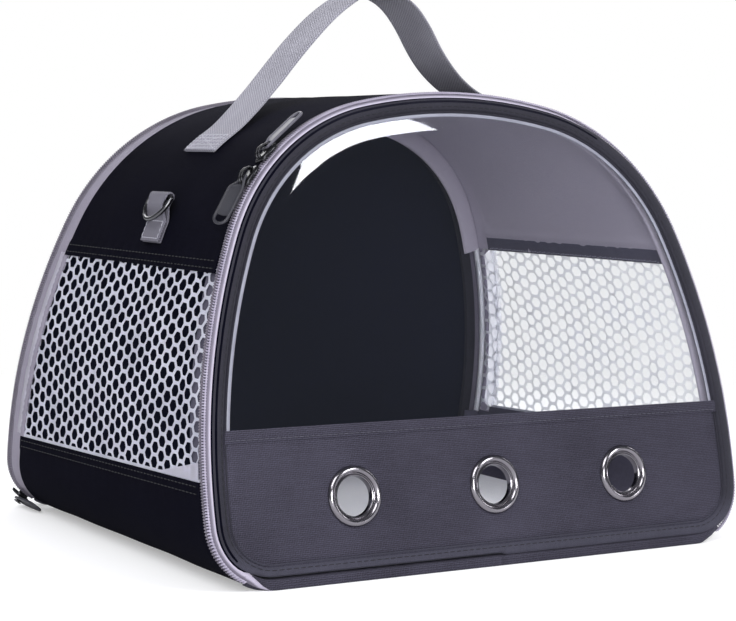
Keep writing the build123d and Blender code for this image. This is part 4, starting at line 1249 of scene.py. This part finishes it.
WEB_Y, WEB_HALF, WEB_THICK = -12.5, 16.5, 1.5
WEB_GROWTH = SKIN + 0.95                            # of the sewn ends' middle
SEWN_LEFT = (42.9, 41.2, 39.6, 38.0, 36.4)          # angles along the handle's sewn ends
SEWN_RIGHT = (38.5, 40.0, 41.4, 43.2, 45.0)
LEAD = 9.0                                          # straight run where the webbing leaves the roof
ROOF_Z = wall(0.0, SKIN).y
ROUTE = [(-72.0, -1.75), (-48.0, 26.75), (-29.0, 44.25), (-11.5, 52.95), (5.0, 48.75), (16.0, 38.25),
         (28.0, 18.75), (42.0, 5.25), (60.0, -2.45), (80.0, -12.95)]    # across, and up from the roof's top
BOX_STITCH = {-1: (42.4, 36.6), 1: (44.3, 38.8)}
BOX_HALF = 14.6
BOX_ROWS = (-14.6, -11.0, -7.3, -3.7, 0.0, 3.7, 7.3, 11.0, 14.6)


def soft_path(points, step=1.2):
    """Smooth line through the middles of the runs, in even steps."""
    dense = [points[0]]
    for a, b, c in zip(points, points[1:], points[2:]):
        start, end = (a + b) / 2, (b + c) / 2
        for t in (k / 12 for k in range(13)):
            dense.append(start * (1 - t) ** 2 + b * 2 * t * (1 - t) + end * t * t)
    dense.append(points[-1])
    out, carried = [dense[0]], 0.0
    for a, b in zip(dense, dense[1:]):
        run = (b - a).length
        while run > 0 and carried + run >= step:
            a = a + (b - a) * ((step - carried) / run)
            out.append(a)
            run = (b - a).length
            carried = 0.0
        carried += run
    if (dense[-1] - out[-1]).length > step / 3:
        out.append(dense[-1])
    return out


def handle_line():
    """The webbing's middle line, from its left end over the loop to its right end."""
    left = [wall(-s_at_angle(a), WEB_GROWTH) for a in SEWN_LEFT]
    right = [wall(s_at_angle(a), WEB_GROWTH) for a in SEWN_RIGHT]
    lead_left = left[-1] + (left[-1] - left[-2]).normalized() * LEAD
    lead_right = right[0] + (right[0] - right[1]).normalized() * LEAD
    return soft_path([*left, lead_left, *(Vector((x, z + ROOF_Z)) for x, z in ROUTE), lead_right, *right])


def length_of(line):
    return sum((b - a).length for a, b in zip(line, line[1:]))


def strap(name, line, half, y_mid, thick, look, body, nodes, narrow=None, start=0.0):
    """Flat webbing along a line of (x, z) points, with rounded selvedges; narrow: its width along the way."""
    rows, uvs = [], []
    run = start
    for i, p in enumerate(line):
        if i:
            run += (p - line[i - 1]).length
        t = (line[min(i + 1, len(line) - 1)] - line[max(i - 1, 0)]).normalized()
        n = Vector((-t.y, t.x))
        wide = half * (narrow(run) if narrow else 1.0)
        upper, lower, uv = [], [], []
        for v in (k / 11 - 1 for k in range(23)):
            y = y_mid + wide * v
            edge = 1 - abs(v)
            selvedge = 1 + 0.12 * math.exp(-((edge - 0.07) / 0.04) ** 2)
            h = thick / 2 * (0.35 + 0.65 * smooth(0.0, 0.05, edge)) * selvedge
            wave = 0.14 * rough(run, y, 150.0, 12.0)
            upper.append(Vector((p.x + n.x * (h + wave), y, p.y + n.y * (h + wave))))
            lower.append(Vector((p.x - n.x * (h - wave), y, p.y - n.y * (h - wave))))
            uv.append((run, y))
        rows.append(upper + lower[::-1])
        uvs.append(uv + uv[::-1])
    build = Build()
    build.loft(rows, uvs)
    return build.piece(name, look, body, nodes, "webbing", 60.0)


def sewn_to_wall(side, growth, y_mid):
    """Gives a function that puts (angle, across) on the wall, with its normal."""

    def on(angle, across):
        s = side * s_at_angle(angle)
        a, b = wall(s, growth), wall(s, growth + 1.5)
        return Vector((a.x, y_mid + across, a.y)), Vector((b.x - a.x, 0, b.y - a.y)).normalized()

    return on


def box_stitch(side):
    """Stitched box with rows both ways and a cross, at an end of the handle."""
    on = sewn_to_wall(side, WEB_GROWTH + 0.78, WEB_Y)
    low, high = BOX_STITCH[side]
    angles = (low + (high - low) * k / 4 for k in range(5))
    lines = [((a, -BOX_HALF), (a, BOX_HALF)) for a in angles]
    lines += [((low, y), (high, y)) for y in BOX_ROWS]
    lines += [((low, -BOX_HALF), (high, BOX_HALF)), ((low, BOX_HALF), (high, -BOX_HALF))]
    return [straight_seam(on, a, b) for a, b in lines]


HANDLE = handle_line()
HANDLE_TOP = max(range(len(HANDLE)), key=lambda i: HANDLE[i].y)
left_line, right_line = HANDLE[: HANDLE_TOP + 1], HANDLE[HANDLE_TOP:]
handle_left = strap("handle_left", left_line, WEB_HALF, WEB_Y, WEB_THICK, "webbing", None,
                    ("handle_end_left", "handle_loop"))
handle_right = strap("handle_right", right_line, WEB_HALF, WEB_Y, WEB_THICK, "webbing", None,
                     ("handle_end_right",), start=length_of(left_line))
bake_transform(handle_left)
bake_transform(handle_right)
seam_row("handle_stitches_left", box_stitch(-1), "thread_light", "shell", "webbing", length=1.6, gap=0.5,
         width=0.55, height=0.34)
seam_row("handle_stitches_right", box_stitch(1), "thread_light", "shell", "webbing", length=2.0, gap=0.5,
         width=0.5)

# ---- D-ring tabs

TAB_Y, TAB_HALF, TAB_THICK = -19.5, 9.8, 1.1
TAB_LOW, TAB_LIFT = 69.4, 66.0                      # angles of the sewn part
BAR, BEND = Vector((126.495, 169.959)), 1.9         # the ring's bar, and the bend of the webbing round it
TAB_SEAM = (69.1, 66.5, 8.4)                        # angles, and half width, of the stitched square


def ring_tab(side, name):
    """Short length of webbing, folded round the D-ring's bar and sewn to the roof."""
    s_low, s_lift = s_at_angle(TAB_LOW), s_at_angle(TAB_LIFT)
    out = (wall(s_lift, 9.0) - wall(s_lift, 5.0)).normalized()
    up = Vector((-out.y, out.x))
    points = [wall(s, SKIN + 0.62) for s in steps(s_low, s_lift, 2.0)]
    points += [BAR - out * BEND + up * k for k in (-5.5, -2.0)]
    points += [BAR + (out * -cos(a) + up * sin(a)) * BEND * 1.12 for a in (0.4, 0.9, 1.57, 2.2, 2.8)]
    points += [BAR + out * BEND + up * k for k in (-2.0, -5.5)]
    points += [wall(s, SKIN + 1.9) for s in steps(s_lift, s_low, 2.0)]
    line = [Vector((side * p.x, p.y)) for p in soft_path(points, 0.8)]
    middle = length_of(line) / 2

    def pinch(run):
        """The ring draws the webbing in below its bar."""
        return 1.0 - 0.19 * math.exp(-((abs(abs(run - middle) - 7.0)) / 3.2) ** 2)

    strap(f"ring_tab_cloth_{name}", line, TAB_HALF, TAB_Y, TAB_THICK, "tab", "shell", (f"ring_tab_{name}",),
          pinch)
    on = sewn_to_wall(side, SKIN + 2.5, TAB_Y)
    low, high, half = TAB_SEAM
    corners = (((low, -half), (low, half)), ((high, -half), (high, half)), ((low, -half), (high, -half)),
               ((low, half), (high, half)))
    seam_row(f"ring_tab_stitches_{name}", [straight_seam(on, a, b) for a, b in corners], "thread_light",
             "shell", "webbing", length=1.8, gap=0.5, width=0.45)


for side, name in reversed(SIDES):
    ring_tab(side, name)

# ---- stitched seams on the outside

SEAM_SPAN = between(8.5, BACK_SKIN + 1.5)
for side, name in SIDES:
    rows = [wall_line(lambda v: side * (S_MESH - inset), SEAM_SPAN, SKIN + 0.25, 90) for inset in (2.0, 5.6)]
    rows += [wall_line(lambda v: side * (s_sill(-114 + 220 * v, SKIN) + inset), SEAM_SPAN, SKIN + 0.2, 90)
             for inset in (2.0, 5.2)]
    seam_row(f"side_stitches_{name}", rows, "thread", "shell", "outer_fabric")

hem_half = half_width(66.0, -6.5)
hem_points = [door(Vector((x, PANEL_TOP - 4.4)), -1.3) for x in steps(-hem_half, hem_half)]
seam_row("panel_stitches", [(hem_points, [FRONT_OUT] * len(hem_points))], "thread_panel", "front_door",
         "panel_fabric", length=2.2, width=0.36, height=0.2)

# ---- sliders and pulls

PLATE, PIN = 7.4, 8.5                               # heights of a slider's top and its pull's pin
SLIDER_SHAPE = [(-4.5, 5.8), (-4.75, 6.6), (-4.3, 7.3), (-2.6, 7.65), (0.0, 7.75), (2.6, 7.65), (4.3, 7.3),
                (4.75, 6.6), (4.5, 5.8), (3.9, 5.8), (3.85, 6.4), (0.0, 6.45), (-3.85, 6.4), (-3.9, 5.8)]
SLIDER_RUN = ((-5.7, 0.6, 0.5), (-5.3, 0.78, 0.2), (-4.3, 0.93, 0.05), (-2.0, 1.0, 0.0), (2.0, 1.0, 0.0),
              (4.3, 0.93, 0.05), (5.3, 0.78, 0.2), (5.7, 0.6, 0.5))     # place, width, drop
SLIDER_CORE = ((0.0, 0.3, 2.0, 6.5, 3.0), (1.0, 2.2, 1.2, 2.25, 5.4))   # web and keel
LOOP_HALF, LOOP_HIGH, LOOP_FOOT = 4.1, 3.1, 7.3
PULL_LONG, PULL_HALF, PULL_PIN = 22.4, 3.45, 2.3    # length, half width at the round end and at the pin
PULL_WIRE = 0.72


class Seat:
    """Where a slider sits: x along the zip, y across it (into the tunnel), z outwards."""

    def __init__(self, angle, back=False, up=1.0):
        s = -s_at_angle(angle)
        p, n = rim(s)
        self.origin = door(p, SEAM, back)
        self.z = (door(p + n, SEAM, back) - self.origin).normalized()
        self.x = (door(rim(s + 1.0)[0], SEAM, back) - self.origin).normalized() * up
        self.y = (door(p, SEAM + 1.0, back) - self.origin).normalized()

    def at(self, x, y, z):
        return self.origin + self.x * x + self.y * y + self.z * z


def plain_uv(rows):
    """Cloth coordinates for pieces whose looks don't need them."""
    return [[(i, k) for k in range(len(row))] for i, row in enumerate(rows)]


def add_loft(build, rows):
    build.loft(rows, plain_uv(rows))


def tube(build, points, radius, hint):
    """Round wire along a line of points."""
    rows = []
    for i, p in enumerate(points):
        t = (points[min(i + 1, len(points) - 1)] - points[max(i - 1, 0)]).normalized()
        side = t.cross(hint).normalized()
        up = side.cross(t)
        rows.append([p + side * cos(w) * radius + up * sin(w) * radius for w in circle(10)])
    add_loft(build, rows)


def slider_loop(build, seat):
    """Round loop on a slider that holds the pull: two wires with a strip between them."""
    arc = [(-cos(a), sin(a) ** 0.8) for a in (pi * k / 16 for k in range(17))]
    arc = [(LOOP_HALF * x, LOOP_FOOT + LOOP_HIGH * z) for x, z in arc]
    for y in (-1.15, 1.15):
        tube(build, [seat.at(x, y, z) for x, z in arc], 0.62, seat.y)
    add_loft(build, [[seat.at(x * (1 - 0.3 / 9), y, z - 0.3) for y in (-1.1, 1.1)]
                     + [seat.at(x, y, z + 0.1) for y in (1.1, -1.1)] for x, z in arc])


def slider(name, seat, body, nodes, loop=True):
    """Domed slider with side flanges, its web and keel, and a round loop for the pull."""
    build = Build()
    add_loft(build, [[seat.at(x, y * wide, z - drop * (z > 6.5)) for y, z in SLIDER_SHAPE]
                     for x, wide, drop in SLIDER_RUN])
    for middle, across, low, high, half in SLIDER_CORE:
        near, far = middle - across, middle + across
        corners = [(near, low), (near, high), (far, high), (far, low)]
        add_loft(build, [[seat.at(x, y, z) for y, z in corners] for x in (-half, half)])
    if loop:
        slider_loop(build, seat)
    build.piece(name, "slider", body, nodes, "slider_metal", 50.0)


def pull(name, origin, x, y, z, look, body, nodes, twist=0.0, rise=0.0):
    """Flat pull: a wire frame round a plate, its end an open loop; twisted and lifted away from the pin."""

    def at(run, across, high):
        a = twist * smooth(1.0, 8.0, run)
        out = (y * cos(a) + z * sin(a)) * across + (z * cos(a) - y * sin(a)) * high
        return origin + x * run + out + z * rise * smooth(0.0, 8.0, run)

    def half(run):
        return PULL_PIN + (PULL_HALF - PULL_PIN) * smooth(0.0, 7.0, run)

    def plate(u, v):
        run, bend = 5.2 + 15.8 * u, 1 - (2 * v - 1) ** 2
        end = 0.6 * bend * (1 if run > 20.5 else -1 if run < 6 else 0)
        dish = 0.32 - 0.1 * bend
        across = (2 * v - 1) * half(run)
        return at(run + end, across, dish), at(run + end, across, -dish), (run, across)

    build = Build()
    wire = [at(run, -half(run), 0.0) for run in steps(0.0, PULL_LONG, 1.2)]
    for a in (pi * k / 12 for k in range(13)):
        wire.append(at(PULL_LONG + PULL_HALF * sin(a), -PULL_HALF * cos(a), 0.0))
    wire += [at(run, half(run), 0.0) for run in steps(PULL_LONG, 0.0, 1.2)]
    tube(build, wire, PULL_WIRE, z)
    tube(build, [at(0.0, v, 0.0) for v in (-2.4, -1.2, 0.0, 1.2, 2.4)], 0.6, z)
    build.sheet(*grids(18, 8, plate))
    build.piece(name, look, body, nodes, look, 50.0)


def front_slider(half, angle, up, look, turn):
    """Slider on the front zip; its pull lies back over it, a little off the zip."""
    seat = Seat(angle, up=up)
    slider(f"slider_{half}", seat, f"front_slider_{half}_body", (f"front_slider_{half}",))
    lean = math.radians(5.0)
    along = seat.x * cos(lean) - seat.z * sin(lean)
    pull(f"pull_{half}", seat.at(1.5, 0.0, PIN), along, seat.y, seat.y.cross(along).normalized() * -up, look,
         f"front_pull_{half}_body", (f"front_pull_{half}",), turn * up, 0.9)


def back_slider():
    """Slider at the back zip's lower stop; its pull swivels on a post and lies forward along the base."""
    seat = Seat(140.5, True)
    slider("slider_back", seat, "back_slider_body", ("back_slider",), False)
    forward = Vector((0.0, -1.0, 0.0))
    swivel = (seat.z - Vector((0.0, seat.z.y, 0.0))).normalized()
    across = forward.cross(swivel)
    post = Build()
    for radius, low, high in ((1.15, -0.4, 2.7), (2.1, 2.6, 3.3)):
        rings = ((0.2, low), (1.0, low), (1.0, high - 0.25), (0.8, high), (0.1, high + 0.05))
        add_loft(post, [[seat.at(0, 0, PLATE) + swivel * z
                         - (forward * cos(a) + across * sin(a)) * radius * share for a in circle(20)]
                        for share, z in rings])
    post.piece("slider_back_post", "slider", "back_slider_body", (), "slider_metal", 50.0)
    pull("pull_back", seat.at(0, 0, PLATE) + swivel * 1.7, forward, across, swivel, "pull_dark",
         "back_pull_body", ("back_pull",))


front_slider("upper", 44.0, 1.0, "pull_light", 0.12)
front_slider("lower", 52.0, -1.0, "pull_dark", -0.6)
back_slider()

# ---- CAD pieces that keep their shape

CAD_LOOKS = {
    "d_ring_left": "gunmetal", "d_ring_right": "gunmetal", "eyelet_washers": "nickel", "base_board": "board",
    "front_hoop": "rod", "back_hoop": "rod",
}
for node, look in CAD_LOOKS.items():
    for material_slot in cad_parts[node].material_slots:
        material_slot.material = M[look]

# ---- floor, lamps and world

FLOOR_REACH = 14.0                                  # metres
WHITE_FROM, WHITE_TO = 0.3, 0.75                    # metres from the carrier's middle


def floor_material():
    """Pale floor: keeps the shadow, and is white to the camera away from the carrier."""
    g = material("floor")
    seen = g.node("LightPath").outputs["Is Camera Ray"]
    plain = g.node("BsdfDiffuse", g.mix(g.noise(g.place(900.0)), (0.80, 0.80, 0.81), (0.82, 0.82, 0.83)))
    glow = g.node("Emission", (1.0, 1.0, 1.0), g.times(seen, 0.32))
    near = g.node("AddShader", plain.outputs[0], glow.outputs[0])
    away = g.node("VectorMath", g.node("TexCoord").outputs["Object"], operation="LENGTH").outputs["Value"]
    share = g.times(g.step(away, WHITE_FROM, WHITE_TO), seen)
    return g.finish(g.node("MixShader", share, near.outputs[0], g.node("Emission").outputs[0]))


def floor():
    mesh = bpy.data.meshes.new("floor")
    r = FLOOR_REACH
    mesh.from_pydata([(-r, -r, 0), (r, -r, 0), (r, r, 0), (-r, r, 0)], [], [(0, 1, 2, 3)])
    mesh.materials.append(floor_material())
    piece = bpy.data.objects.new("floor", mesh)
    bpy.context.collection.objects.link(piece)


def studio():
    """World: soft light, dimmer where it is mirrored, and white to the camera and through glass."""
    g = Graph(bpy.data.worlds.new("studio"), "OutputWorld")
    path = g.node("LightPath").outputs
    soft, mirrored, white = (g.node("Background", shade, strength).outputs[0] for shade, strength in (
        ((0.93, 0.94, 1.0), 0.42), ((0.85, 0.9, 1.0), 0.14), ((1.0, 1.0, 1.0), 1.0)))
    lit = g.node("MixShader", path["Is Glossy Ray"], soft, mirrored).outputs[0]
    seen = g.math("MAXIMUM", path["Is Camera Ray"], path["Is Transmission Ray"])
    return g.finish(g.node("MixShader", seen, lit, white))


def lamp(name, at, target, size, power):
    """Area lamp; metres and watts."""
    data = bpy.data.lights.new(name, "AREA")
    data.shape = "RECTANGLE"
    data.size, data.size_y = size
    data.energy = power
    obj = bpy.data.objects.new(name, data)
    obj.location = at
    obj.rotation_mode = "QUATERNION"
    obj.rotation_quaternion = (Vector(target) - Vector(at)).to_track_quat("-Z", "Y")
    bpy.context.collection.objects.link(obj)


floor()
bpy.context.scene.world = studio()
lamp("key", (-1.1, -0.7, 1.5), (0.0, 0.0, 0.1), (1.0, 1.0), 17.0)
lamp("cabin", (-0.95, -1.5, 0.4), (0.05, -0.05, 0.14), (0.7, 0.6), 18.0)
lamp("window", (0.57, -1.2, 1.15), (-0.03, -0.09, 0.2), (0.5, 0.4), 8.0)
lamp("side", (1.55, 0.35, 0.6), (0.1, 0.0, 0.1), (0.9, 1.0), 16.0)
lamp("rear", (0.3, 1.5, 1.2), (0.0, 0.0, 0.1), (1.4, 1.0), 14.0)

bpy.context.scene.view_settings.view_transform = "Standard"
